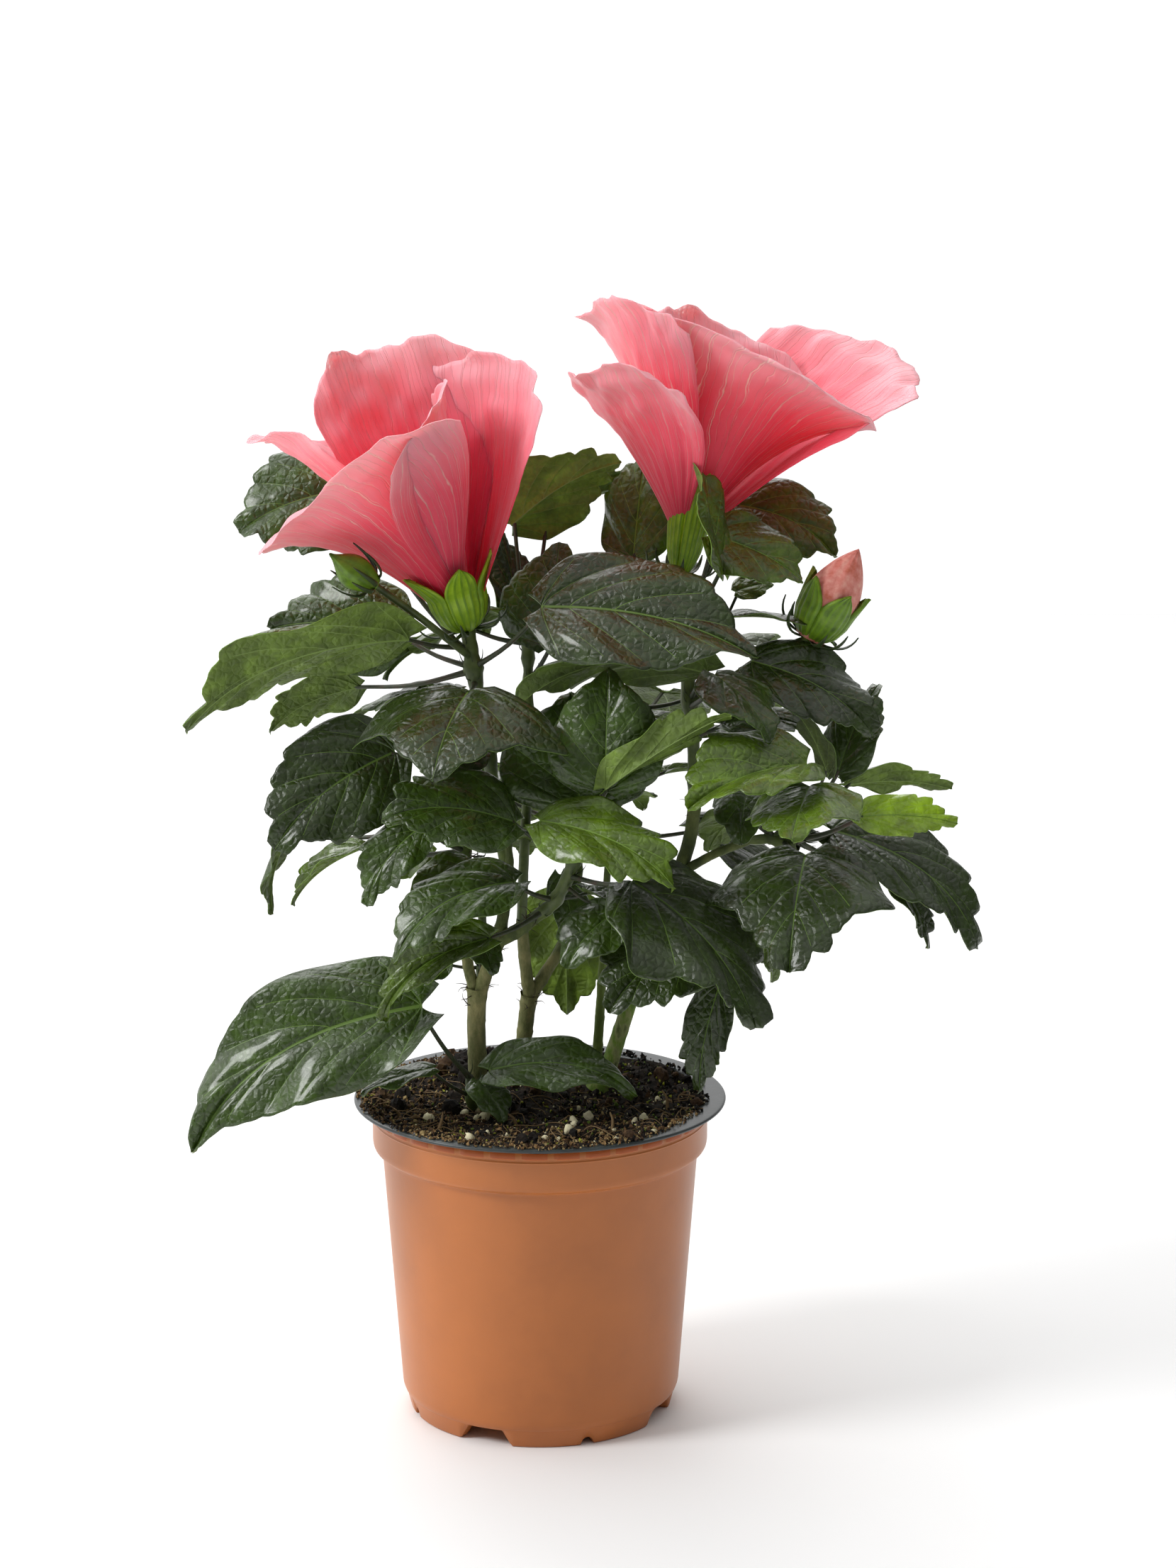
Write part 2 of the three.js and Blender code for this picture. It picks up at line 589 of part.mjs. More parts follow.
/** The gaps between the feet and the small notch in the middle of each foot. */
function footCuts() {
  const { count, firstGap, gapWidth, gapHeight, gapSlant, notchWidth, notchHeight } = FEET;
  const gap = new THREE.Shape([
    new THREE.Vector2(-gapWidth / 2 - gapSlant / 2, -1),
    new THREE.Vector2(gapWidth / 2 + gapSlant / 2, -1),
    new THREE.Vector2(gapWidth / 2 - gapSlant / 2, gapHeight),
    new THREE.Vector2(-gapWidth / 2 + gapSlant / 2, gapHeight),
  ]);
  const notch = new THREE.Shape();
  notch.moveTo(-notchWidth / 2, -1);
  notch.lineTo(notchWidth / 2, -1);
  notch.absarc(0, notchHeight - notchWidth / 2, notchWidth / 2, 0, Math.PI, false);
  const cuts = [];
  const reach = 14;
  for (let foot = 0; foot < count; foot += 1) {
    for (const [shape, turn] of [[gap, 0], [notch, 180 / count]]) {
      const cut = new THREE.ExtrudeGeometry(shape, { depth: reach, bevelEnabled: false, curveSegments: 6 });
      cut.rotateX(Math.PI / 2).translate(0, -POT.footRadius + reach - 7, 0);
      cut.rotateZ(radians(firstGap + 90 + turn + (foot * 360) / count));
      cuts.push(cut);
    }
  }
  return cuts;
}

function addPot() {
  const shell = new THREE.LatheGeometry(potProfile(), POT.sides);
  shell.rotateX(Math.PI / 2);
  let solid = toSolid(shell);
  for (const cut of footCuts()) solid = solid.subtract(toSolid(cut));
  addPiece('pot', solid, TERRACOTTA_PLASTIC);
}

/** How high the soil lies at a place, before its small lumps. */
function soilHeight(x, y) {
  const { level, mound } = SOIL;
  const top = aimed(mound.direction, 0).multiplyScalar(mound.from);
  const away = Math.hypot(x - top.x, y - top.y) / mound.spread;
  return level + mound.height * Math.exp(-away * away);
}

function addSoil() {
  const { rings, sides, roughness, clearOfLip } = SOIL;
  const outer = POT.collarRadius - POT.collarWall - GAP;
  const floor = POT.floorTop + GAP;
  const profile = [new THREE.Vector2(0, floor)];
  profile.push(new THREE.Vector2(POT.bottomRadius - POT.wall - 1.4 - GAP * 2, floor));
  profile.push(new THREE.Vector2(POT.bottomRadius - POT.wall - GAP, POT.floorTop + 1.8));
  profile.push(new THREE.Vector2(POT.shoulderRadius - POT.wall - GAP, POT.shoulderHeight - 1));
  profile.push(new THREE.Vector2(outer, POT.collarBottom + 0.6));
  profile.push(new THREE.Vector2(outer, SOIL.level - clearOfLip));
  for (let ring = rings - 1; ring >= 0; ring -= 1) {
    profile.push(new THREE.Vector2((ring / rings) * (outer - 1), SOIL.level));
  }
  const mass = new THREE.LatheGeometry(profile, sides);
  mass.rotateX(Math.PI / 2);
  const merged = bare(mass);
  const dice = makeDice(12);
  const feet = [...LIMBS, ...MASSES.map(({ name, stem, radius }) => ({ name, course: stem, radius }))]
    .filter(({ course }) => course[0][2] < SOIL.level + 2);
  const position = merged.attributes.position;
  for (let i = 0; i < position.count; i += 1) {
    if (position.getZ(i) < SOIL.level - clearOfLip + 0.01) continue;
    const [x, y] = [position.getX(i), position.getY(i)];
    const nearFoot = feet.some(({ course }) => Math.hypot(x - course[0][0], y - course[0][1]) < 12);
    const lump = nearFoot ? 0 : dice(-roughness, roughness);
    position.setZ(i, soilHeight(x, y) + lump);
  }
  const room = feet.map(({ course, radius }) =>
    limbSolid(course, taper(radius), LIMB_SIDES, (course.length - 1) * 2, GAP));
  addPiece('soil', withoutScraps(wasm.Manifold.difference([toSolid(merged), ...room])), PEAT);
}

// ---------------------------------------------------------------- flowers and buds

const PETAL = {
  steps: 5,
  across: 3,
  thickness: 0.013, // of its length
  claw: 3.4, // how far from the flower's axis it starts
  tuck: 1.1, // how far one edge lies outside the neighbour, and the other inside it
  widest: 0.78, // share of its length where it is widest
  mostRound: 56, // degrees round the axis that half of it may cover
};

// Each bloom: where its calyx starts, how its axis leans, and its petals.
//   turn   direction round the axis      aim    slope from the axis's level where it starts
//   droop  how far it bends out by its rim      blade, wide   length, and width as a share of it
const BLOOMS = [
  {
    name: 'bloom_left',
    base: [-22, -8, 257.2],
    lean: { turn: 205, rise: 72 },
    calyx: { tube: 13, sepal: 10, radius: 7.5 },
    petals: [
      { turn: 222, aim: 70, droop: 66, blade: 79, wide: 0.9 },
      { turn: 300, aim: 76, droop: 22, blade: 70, wide: 0.8 },
      { turn: 14, aim: 68, droop: 20, blade: 80, wide: 1.02 },
      { turn: 92, aim: 76, droop: 24, blade: 89, wide: 0.9 },
      { turn: 162, aim: 70, droop: 30, blade: 81, wide: 0.76 },
    ],
  },
  {
    name: 'bloom_right',
    base: [44.2, 4, 273],
    lean: { turn: 10, rise: 80 },
    calyx: { tube: 22, sepal: 12, radius: 5.5 },
    petals: [
      { turn: 301, aim: 63, droop: 32, blade: 77, wide: 1.14 },
      { turn: 8, aim: 66, droop: 36, blade: 83, wide: 0.84 },
      { turn: 78, aim: 76, droop: 18, blade: 84, wide: 0.95 },
      { turn: 148, aim: 70, droop: 32, blade: 84, wide: 0.78 },
      { turn: 218, aim: 66, droop: 50, blade: 76, wide: 0.82 },
    ],
  },
];

/** A flower's own directions: up its axis, and two across it as near the level as can be. */
function flowerFrame(base, lean) {
  const axis = aimed(lean.turn, lean.rise);
  const right = new THREE.Vector3(1, 0, 0).addScaledVector(axis, -axis.x).normalize();
  const back = axis.clone().cross(right);
  const foot = vector(base);
  return (turn, out, up) => foot
    .clone()
    .addScaledVector(axis, up)
    .addScaledVector(right, out * Math.cos(radians(turn)))
    .addScaledVector(back, out * Math.sin(radians(turn)));
}

/** A petal: a thin plate that wraps round the flower's axis and bends out towards its rim. */
function petalSolid(place, start, { turn, aim, droop, blade, wide }) {
  const { steps, across, thickness, claw, tuck, widest, mostRound } = PETAL;
  const spine = [];
  let [out, up] = [claw, start];
  for (let step = 0; step <= steps; step += 1) {
    spine.push({ out, up, slope: radians(aim - droop * (step / steps) ** 2) });
    const onward = radians(aim - droop * ((step + 0.5) / steps) ** 2);
    out += (Math.cos(onward) * blade) / steps;
    up += (Math.sin(onward) * blade) / steps;
  }
  const plate = new THREE.BoxGeometry(1, 1, 1, steps, across, 1);
  const position = plate.attributes.position;
  for (let i = 0; i < position.count; i += 1) {
    const step = Math.round((position.getX(i) + 0.5) * steps);
    const u = step / steps;
    const v = position.getY(i) * 2;
    const swell = 0.1 + 0.9 * Math.sin((Math.PI / 2) * Math.min(1, u / widest)) ** 1.3;
    const round = ((wide / 2) * blade * swell) / spine[step].out;
    const around = turn + v * Math.min(mostRound, THREE.MathUtils.radToDeg(round));
    const back = -0.24 * blade * u ** 3 * v * v;
    const off = position.getZ(i) * thickness * blade;
    const { out: middle, up: height, slope } = spine[step];
    const corner = place(
      around,
      middle + tuck * v + back * Math.cos(slope) - off * Math.sin(slope),
      height + back * Math.sin(slope) + off * Math.cos(slope),
    );
    position.setXYZ(i, corner.x, corner.y, corner.z);
  }
  return toSolid(plate);
}

/** The green cup under a bloom: a swelling tube that ends in five pointed sepals. */
function calyxSolid(place, { tube, sepal, radius }) {
  const rings = [[2.1, 0], [radius * 0.75, tube * 0.35], [radius, tube], [radius * 1.25, tube + sepal]];
  const cup = new THREE.CylinderGeometry(1, 1, 1, 10, rings.length - 1);
  const position = cup.attributes.position;
  for (let i = 0; i < position.count; i += 1) {
    const [x, z] = [position.getX(i), position.getZ(i)];
    const side = Math.round(THREE.MathUtils.radToDeg(Math.atan2(z, x)) / 36);
    let [out, up] = rings[Math.round((position.getY(i) + 0.5) * (rings.length - 1))];
    if (out === rings[3][0] && side % 2) [out, up] = [radius * 0.98, tube + 0.6];
    if (Math.hypot(x, z) < 0.5) [out, up] = [0, up > 0 ? tube - 1 : 0];
    const corner = place(side * 36, out, up);
    position.setXYZ(i, corner.x, corner.y, corner.z);
  }
  cup.index.array.reverse(); // placing it mirrors it, so its faces are turned back out
  return toSolid(cup);
}

/** The column of stamens in the middle of a bloom. */
function columnSolid(place, start, length) {
  const course = [0, 0.5, 1].map((t) => place(0, 0, start + t * length).toArray());
  return limbSolid(course, (t) => 0.8 + 1.4 * t * t, 5, 3);
}

function bloomSolid({ base, lean, calyx, petals }) {
  const place = flowerFrame(base, lean);
  const start = calyx.tube * 0.3;
  const parts = [calyxSolid(place, calyx), columnSolid(place, start, petals[1].blade * 0.62)];
  for (const petal of petals) parts.push(petalSolid(place, start, petal));
  return fuse([clearOfLimbs(fuse(parts))]);
}

const BUDS = [
  { name: 'bud_left', base: [-37, -21.4, 268], lean: { turn: 206, rise: 36 }, long: 15, wide: 9 },
  { name: 'bud_right', base: [84.6, -3.8, 253.6], lean: { turn: 350, rise: 62 }, long: 33, wide: 14 },
];

function budSolid({ base, lean, long, wide }) {
  const place = flowerFrame(base, lean);
  const course = [0, 0.33, 0.66, 1].map((t) => place(0, 0, t * long).toArray());
  const radius = (t) => 0.6 + (wide / 2) * Math.sin(Math.PI * Math.min(1, 0.12 + t * 0.86)) ** 0.8;
  return clearOfLimbs(limbSolid(course, radius, 8, 6));
}

function addFlowers() {
  for (const bloom of BLOOMS) addPiece(bloom.name, bloomSolid(bloom), CORAL);
  for (const bud of BUDS) addPiece(bud.name, budSolid(bud), BUD_GREEN);
}

// ---------------------------------------------------------------- assembly

addPot();
addSoil();
addLimbs();
addFoliage();
addFlowers();

// The plant stands over the middle of its own outline.
const middle = new THREE.Box3().setFromObject(plant).getCenter(new THREE.Vector3());
for (const { geometry } of plant.children) geometry.translate(-middle.x, -middle.y, 0);

export default plant;
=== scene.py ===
"""A flowering hibiscus in its nursery pot: petals, leaves, bark, soil and pot, grown over the CAD frame."""

import math

import bpy
import mathutils
import numpy as np
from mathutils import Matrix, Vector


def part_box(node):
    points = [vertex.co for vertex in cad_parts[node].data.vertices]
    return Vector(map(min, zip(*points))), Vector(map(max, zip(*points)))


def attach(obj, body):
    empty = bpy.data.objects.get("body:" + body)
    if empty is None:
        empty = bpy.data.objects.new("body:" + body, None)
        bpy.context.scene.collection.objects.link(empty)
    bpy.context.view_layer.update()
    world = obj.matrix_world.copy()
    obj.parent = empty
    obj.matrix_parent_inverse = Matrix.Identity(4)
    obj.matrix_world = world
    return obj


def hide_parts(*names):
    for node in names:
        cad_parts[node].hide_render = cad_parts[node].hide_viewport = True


bl_info = {
    "name": "Potted hibiscus",
    "version": (1, 0, 0),
    "blender": (4, 5, 0),
    "location": "3D View > Sidebar > Hibiscus",
    "description": "Grows a potted hibiscus with its leaves, blooms, bark and soil",
    "category": "Add Mesh",
}

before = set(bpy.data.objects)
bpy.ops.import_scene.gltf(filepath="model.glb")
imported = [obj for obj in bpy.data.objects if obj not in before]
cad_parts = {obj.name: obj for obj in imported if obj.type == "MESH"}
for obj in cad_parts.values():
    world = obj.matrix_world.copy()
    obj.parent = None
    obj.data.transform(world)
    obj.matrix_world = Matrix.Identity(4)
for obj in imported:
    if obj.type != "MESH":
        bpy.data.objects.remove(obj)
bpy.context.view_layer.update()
BODY = "root"

# Shapes are worked out in millimetres from the pot's axis at floor level, and set in place in metres.
POT_LOW, POT_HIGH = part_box("pot")
AXIS = np.array([(POT_LOW.x + POT_HIGH.x) / 2, (POT_LOW.y + POT_HIGH.y) / 2, 0.0])
MILLIMETRE = 0.001

# ---------------------------------------------------------------- small helpers


def aimed(turn, rise):
    """The unit vector at a direction round the plant and a slope above the level, in degrees."""
    turn, rise = np.radians(turn), np.radians(rise)
    level = np.cos(rise)
    return np.stack(np.broadcast_arrays(level * np.cos(turn), level * np.sin(turn), np.sin(rise)), -1)


DICE_FACTOR, DICE_SIDES = 16807, 2147483647


def dice_from(seed):
    """Seeded dice that roll the same numbers each run."""
    state = seed

    def roll(low, high):
        nonlocal state
        state = state * DICE_FACTOR % DICE_SIDES
        return low + (high - low) * state / DICE_SIDES

    return roll


def unit(vectors):
    """The vectors drawn to a length of one."""
    return vectors / np.maximum(np.linalg.norm(vectors, axis=-1, keepdims=True), 1e-9)


def mix(a, b, t):
    """The value a share t of the way from a to b."""
    return a + (b - a) * t


def step_up(x, low, high):
    """Rises smoothly from 0 at low to 1 at high."""
    t = np.clip((x - low) / (high - low), 0, 1)
    return t * t * (3 - 2 * t)


def run_of(points):
    """The length of the straight path through the points."""
    return np.linalg.norm(np.diff(np.asarray(points, float), axis=0), axis=1).sum()


def round_angles(count):
    """Evenly spaced angles round a full turn."""
    return np.arange(count) * 2 * math.pi / count


def smooth_curve(points, t):
    """Places along a smooth curve through the points, at shares t of its run."""
    points = np.asarray(points, float)
    padded = np.concatenate([[2 * points[0] - points[1]], points, [2 * points[-1] - points[-2]]])
    place = np.clip(np.atleast_1d(t), 0, 1) * (len(points) - 1)
    span = np.minimum(place.astype(int), len(points) - 2)
    w = (place - span)[:, None]
    before, start, end, after = (padded[span + k] for k in range(4))
    lead, trail = 0.5 * (end - before), 0.5 * (after - start)
    return (
        start
        + lead * w
        + (3 * (end - start) - 2 * lead - trail) * w**2
        + (2 * (start - end) + lead + trail) * w**3
    )


def lattice(i, j, k, seed):
    """A repeatable random value from -1 to 1 for each whole-number place; the large numbers stir its bits."""
    h = (i * 73856093) ^ (j * 19349663) ^ (k * 83492791) ^ (seed * 2654435761)
    h = (h ^ (h >> 13)) & 0x7FFFFFFF
    h = (h * 1103515245 + 12345) & 0x7FFFFFFF
    h = ((h ^ (h >> 11)) * 69069 + 1) & 0x7FFFFFFF
    return h / 0x3FFFFFFF - 1.0


def lumps(points, size, seed):
    """Smooth random relief from -1 to 1 whose swells are about the given size."""
    p = np.asarray(points, float) / size
    base = np.floor(p).astype(np.int64)
    f = p - base
    f = f * f * (3 - 2 * f)
    total = 0.0
    for dx in (0, 1):
        for dy in (0, 1):
            for dz in (0, 1):
                share = (
                    (f[..., 0] if dx else 1 - f[..., 0])
                    * (f[..., 1] if dy else 1 - f[..., 1])
                    * (f[..., 2] if dz else 1 - f[..., 2])
                )
                corner = base[..., 0] + dx, base[..., 1] + dy, base[..., 2] + dz
                total = total + share * lattice(*corner, seed)
    return total


def carried_frames(points):
    """For points along a curve: the directions along it and two across it, turned as little as can be."""
    along = unit(np.gradient(points, axis=0))
    helper = np.array([1.0, 0, 0]) if abs(along[0][2]) > 0.9 else np.array([0, 0, 1.0])
    side = unit(np.cross(helper, along[0]))
    sides = []
    for direction in along:
        side = unit(side - direction * side.dot(direction))
        sides.append(side)
    sides = np.array(sides)
    return along, sides, np.cross(sides, along)


def grid_faces(rows, columns, wrap=False):
    """Quads over a grid of points, row after row; wrap joins the last column to the first."""
    r, c = np.meshgrid(np.arange(rows - 1), np.arange(columns if wrap else columns - 1), indexing="ij")
    r, c = r.ravel(), c.ravel()
    after = (c + 1) % columns
    low, high = r * columns, (r + 1) * columns
    return np.stack([low + c, low + after, high + after, high + c], 1)


def plate_faces(rows, columns):
    """The quads over two equal grids of points and round the rim between them, which close a thin plate."""
    under = rows * columns
    cells = grid_faces(rows, columns)
    path = [
        np.arange(columns),
        np.arange(2, rows) * columns - 1,
        (rows - 1) * columns + np.arange(columns)[::-1],
        np.arange(rows - 2, 0, -1) * columns,
    ]
    path = np.concatenate(path)
    onward = np.roll(path, -1)
    return cells, cells[:, ::-1] + under, np.stack([path + under, onward + under, onward, path], 1)


def faced_out(points, faces):
    """The faces, turned round if they enclose their solid inside out."""
    a, b, c, d = (points[faces[:, k]] for k in range(4))
    volume = np.einsum("ij,ij->i", a, np.cross(b, c) + np.cross(c, d)).sum()
    return faces[:, ::-1] if volume < 0 else faces


def tube(points, radii, sides):
    """A rod through points, closed at both ends, as (points, faces); radii may differ round each ring too."""
    points, radii = np.asarray(points, float), np.asarray(radii, float)
    _, across, out = carried_frames(points)
    angle = round_angles(sides)
    if radii.ndim == 1:
        radii = np.repeat(radii[:, None], sides, 1)
    ring = across[:, None] * (np.cos(angle) * radii)[..., None]
    ring = points[:, None] + ring + out[:, None] * (np.sin(angle) * radii)[..., None]
    rows = len(points)
    shell = grid_faces(rows, sides, wrap=True)
    first, last = rows * sides, rows * sides + 1
    column = np.arange(sides)
    after = (column + 1) % sides
    foot = np.stack([np.full(sides, first), after, column, column], 1)
    top = np.stack([np.full(sides, last), column, after, after], 1)
    top[:, 1:] += (rows - 1) * sides
    everything = np.concatenate([ring.reshape(-1, 3), points[:1], points[-1:]])
    return everything, faced_out(everything, np.concatenate([shell, foot, top]))


# ---------------------------------------------------------------- pieces


class Heap:
    """Gathers the points, faces and materials of one piece before it becomes a mesh."""

    def __init__(self):
        self.points, self.faces, self.slots, self.maps = [], [], [], []
        self.count = 0

    def add(self, points, faces, slot=0, maps=None):
        """slot is one material's number or one per face; maps holds each face corner's places on the maps."""
        self.points.append(points)
        self.faces.append(faces + self.count)
        self.slots.append(np.full(len(faces), slot))
        if maps is not None:
            self.maps.append(maps)
        self.count += len(points)

    def add_shell(self, points, slot=0):
        """Adds a grid of points whose columns wrap round, as a skin that faces out."""
        flat = points.reshape(-1, 3)
        self.add(flat, faced_out(flat, grid_faces(*points.shape[:2], wrap=True)), slot)


def make_piece(name, heap, materials, slot, nodes=(), maps=(), smooth=True):
    """Makes a mesh object of a heap, gives it its materials and sets it riding on the plant."""
    points = np.concatenate(heap.points)
    faces = np.concatenate(heap.faces)
    slots = np.concatenate(heap.slots)
    corners = [f[:3] if f[2] == f[3] else f for f in faces.tolist()]
    mesh = bpy.data.meshes.new(name)
    mesh.from_pydata(((points + AXIS / MILLIMETRE) * MILLIMETRE).tolist(), [], corners)
    mesh.polygons.foreach_set("material_index", slots.astype(np.int32))
    mesh.polygons.foreach_set("use_smooth", np.full(len(corners), smooth))
    for material in materials:
        mesh.materials.append(material)
    if maps:
        places = np.concatenate(heap.maps).reshape(len(mesh.loops), -1)
        for k, title in enumerate(maps):
            layer = mesh.uv_layers.new(name=title)
            layer.uv.foreach_set("vector", places[:, 2 * k : 2 * k + 2].astype(np.float32).ravel())
    mesh.validate()
    piece = bpy.data.objects.new(name, mesh)
    bpy.context.scene.collection.objects.link(piece)
    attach(piece, BODY)
    if nodes:
        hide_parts(*nodes)
    return piece


# ---------------------------------------------------------------- materials


def channels(hex_colour):
    """The red, green and blue of a hex colour, from 0 to 255."""
    return [int(hex_colour[i : i + 2], 16) for i in (1, 3, 5)]


def hex_from(parts):
    """The hex colour of red, green and blue from 0 to 255."""
    return "#" + "".join(f"{part:02x}" for part in parts)


def shaded(hex_colour, share):
    """The colour made darker, or lighter where share is over one."""
    return hex_from(min(255, int(part * share)) for part in channels(hex_colour))


def mixed(a, b, share):
    """The colour a share of the way from a to b."""
    return hex_from(round(mix(x, y, share)) for x, y in zip(channels(a), channels(b)))


def linear(hex_colour):
    """An sRGB hex colour as linear RGBA."""
    parts = [part / 255 for part in channels(hex_colour)]
    return [c / 12.92 if c <= 0.04045 else ((c + 0.055) / 1.055) ** 2.4 for c in parts] + [1.0]


def add_node(tree, kind, settings=None, **inputs):
    """Adds a node; settings are its own properties, and inputs are values or (node, output) links."""
    node = tree.nodes.new(kind)
    for key, value in (settings or {}).items():
        setattr(node, key, value)
    for key, value in inputs.items():
        socket = node.inputs[int(key[1:]) if key[0] == "_" else key.replace("_", " ")]
        if isinstance(value, tuple) and isinstance(value[0], bpy.types.Node):
            tree.links.new(value[0].outputs[value[1]], socket)
        else:
            socket.default_value = value
    return node


def new_maths(tree, operation, *terms):
    """Adds a Math node over its terms, as a link to its value."""
    inputs = {f"_{k}": term for k, term in enumerate(terms)}
    return add_node(tree, "ShaderNodeMath", {"operation": operation}, **inputs), "Value"


def ranged(tree, value, low, high, start=0.0, end=1.0):
    """Takes a value from the range low to high over to start to end, as a link to the result."""
    limits = dict(From_Min=low, From_Max=high, To_Min=start, To_Max=end)
    return add_node(tree, "ShaderNodeMapRange", Value=value, **limits), "Result"


def new_material(name, roughness, ior, **shader):
    """A material with a plain Principled shader; returns it, its tree and the shader."""
    material = bpy.data.materials.new(name)
    material.use_nodes = True
    tree = material.node_tree
    tree.nodes.clear()
    surface = add_node(tree, "ShaderNodeBsdfPrincipled", Roughness=roughness, IOR=ior, **shader)
    add_node(tree, "ShaderNodeOutputMaterial", Surface=(surface, "BSDF"))
    return material, tree, surface


def ramp(tree, stops, **inputs):
    """A colour ramp with stops of (place, hex colour)."""
    node = add_node(tree, "ShaderNodeValToRGB", **inputs)
    elements = node.color_ramp.elements
    while len(elements) < len(stops):
        elements.new(0.5)
    for element, (place, colour) in zip(elements, stops):
        element.position = place
        element.color = linear(colour)
    return node


def grain(tree, size_mm, detail=2.0, roughness=0.5, stretch=(1, 1, 1)):
    """A link to noise on the object's own coordinates, in swells of about size_mm; stretch lengthens them."""
    scale = [1 / (size_mm * MILLIMETRE * s) for s in stretch]
    place = (add_node(tree, "ShaderNodeTexCoord"), "Object")
    return noise_on(tree, place, scale, Detail=detail, Roughness=roughness)


def noise_on(tree, place, scale, **inputs):
    """A link to noise on a map or on coordinates that are scaled first."""
    scaled = add_node(tree, "ShaderNodeMapping", Vector=place, Scale=scale)
    return add_node(tree, "ShaderNodeTexNoise", Vector=(scaled, "Vector"), Scale=1.0, **inputs), "Fac"


def set_relief(tree, surface, height, depth_mm, strength=1.0):
    """Lets a linked height stand out from the surface."""
    depth = depth_mm * MILLIMETRE
    bump = add_node(tree, "ShaderNodeBump", Height=height, Distance=depth, Strength=strength)
    tree.links.new(bump.outputs["Normal"], surface.inputs["Normal"])


FLESH_IOR, PLASTIC_IOR, DAMP_IOR = 1.45, 1.49, 1.4


def matt_material(name, colour, roughness, relief_size, relief_depth):
    """A plain-coloured living or mineral surface with a fine random relief."""
    material, tree, surface = new_material(name, roughness, FLESH_IOR, Base_Color=linear(colour))
    set_relief(tree, surface, grain(tree, relief_size, 3.0), relief_depth)
    return material


# ---------------------------------------------------------------- finishes


def varied(tree, surface, colours, size_mm, stretch=(1, 1, 1)):
    """Lets the base colour wander between colours in swells of a given size."""
    places = np.linspace(0.3, 0.7, len(colours))
    shade = ramp(tree, list(zip(places, colours)), Fac=grain(tree, size_mm, 4.0, 0.6, stretch))
    tree.links.new(shade.outputs["Color"], surface.inputs["Base Color"])


VEIN_NET = 2.6  # millimetres between a leaf's finest veins
VEIN_FINISHES = dict(vein="leaf vein", pale_vein="pale leaf vein", under_vein="underside vein")


def leaf_finishes(colours):
    """Waxy living leaf: the cuticle shines over quilted flesh, and the underside is paler and dull."""
    finishes = []
    for tone in TONES:
        for side, colour in zip(("over", "under"), colours[tone]):
            shine = dict(Coat_Weight=0.4, Coat_Roughness=0.14) if side == "over" else {}
            roughness = 0.36 if side == "over" else 0.55
            material, tree, surface = new_material(f"waxy leaf {tone} {side}", roughness, FLESH_IOR, **shine)
            varied(tree, surface, [shaded(colour, 0.8), colour, shaded(colour, 1.25)], 7.0)
            # The flesh swells between the cells of a net of veins too fine to model.
            place = (add_node(tree, "ShaderNodeTexCoord"), "Object")
            cells = dict(Vector=place, Scale=1 / (VEIN_NET * MILLIMETRE))
            net = add_node(tree, "ShaderNodeTexVoronoi", {"feature": "DISTANCE_TO_EDGE"}, **cells)
            dome = ranged(tree, (net, "Distance"), 0.0, 0.3)
            relief = new_maths(tree, "MULTIPLY_ADD", grain(tree, 0.8, 3.0, 0.6), 0.6, dome)
            set_relief(tree, surface, relief, 0.3, 0.9)
            finishes.append(material)
    for key, name in VEIN_FINISHES.items():
        finishes.append(matt_material(name, colours[key], 0.42, 0.6, 0.05))
    return finishes


def stalk_finish(name, colours, size_mm=4.0, roughness=0.45):
    """Young stem skin: green tissue flushed with wine colour, faintly waxy."""
    material, tree, surface = new_material(name, roughness, FLESH_IOR)
    varied(tree, surface, colours, size_mm)
    set_relief(tree, surface, grain(tree, 0.5, 2.0), 0.05, 0.5)
    return material


def bark_finish(name, colours, size_mm):
    """Living bark of a young shrub: grey-tan cork over green, in streaks along the limb."""
    material, tree, surface = new_material(name, 0.72, FLESH_IOR)
    varied(tree, surface, colours, size_mm, (1, 1, 2.2))
    set_relief(tree, surface, grain(tree, 0.45, 4.0, 0.65, (1, 1, 1.6)), 0.25)
    return material


# A petal's main and finer veins: how many of them lie across it, and how wide they are to the space between.
PETAL_VEINS = [(15.0, 0.036), (38.0, 0.055)]


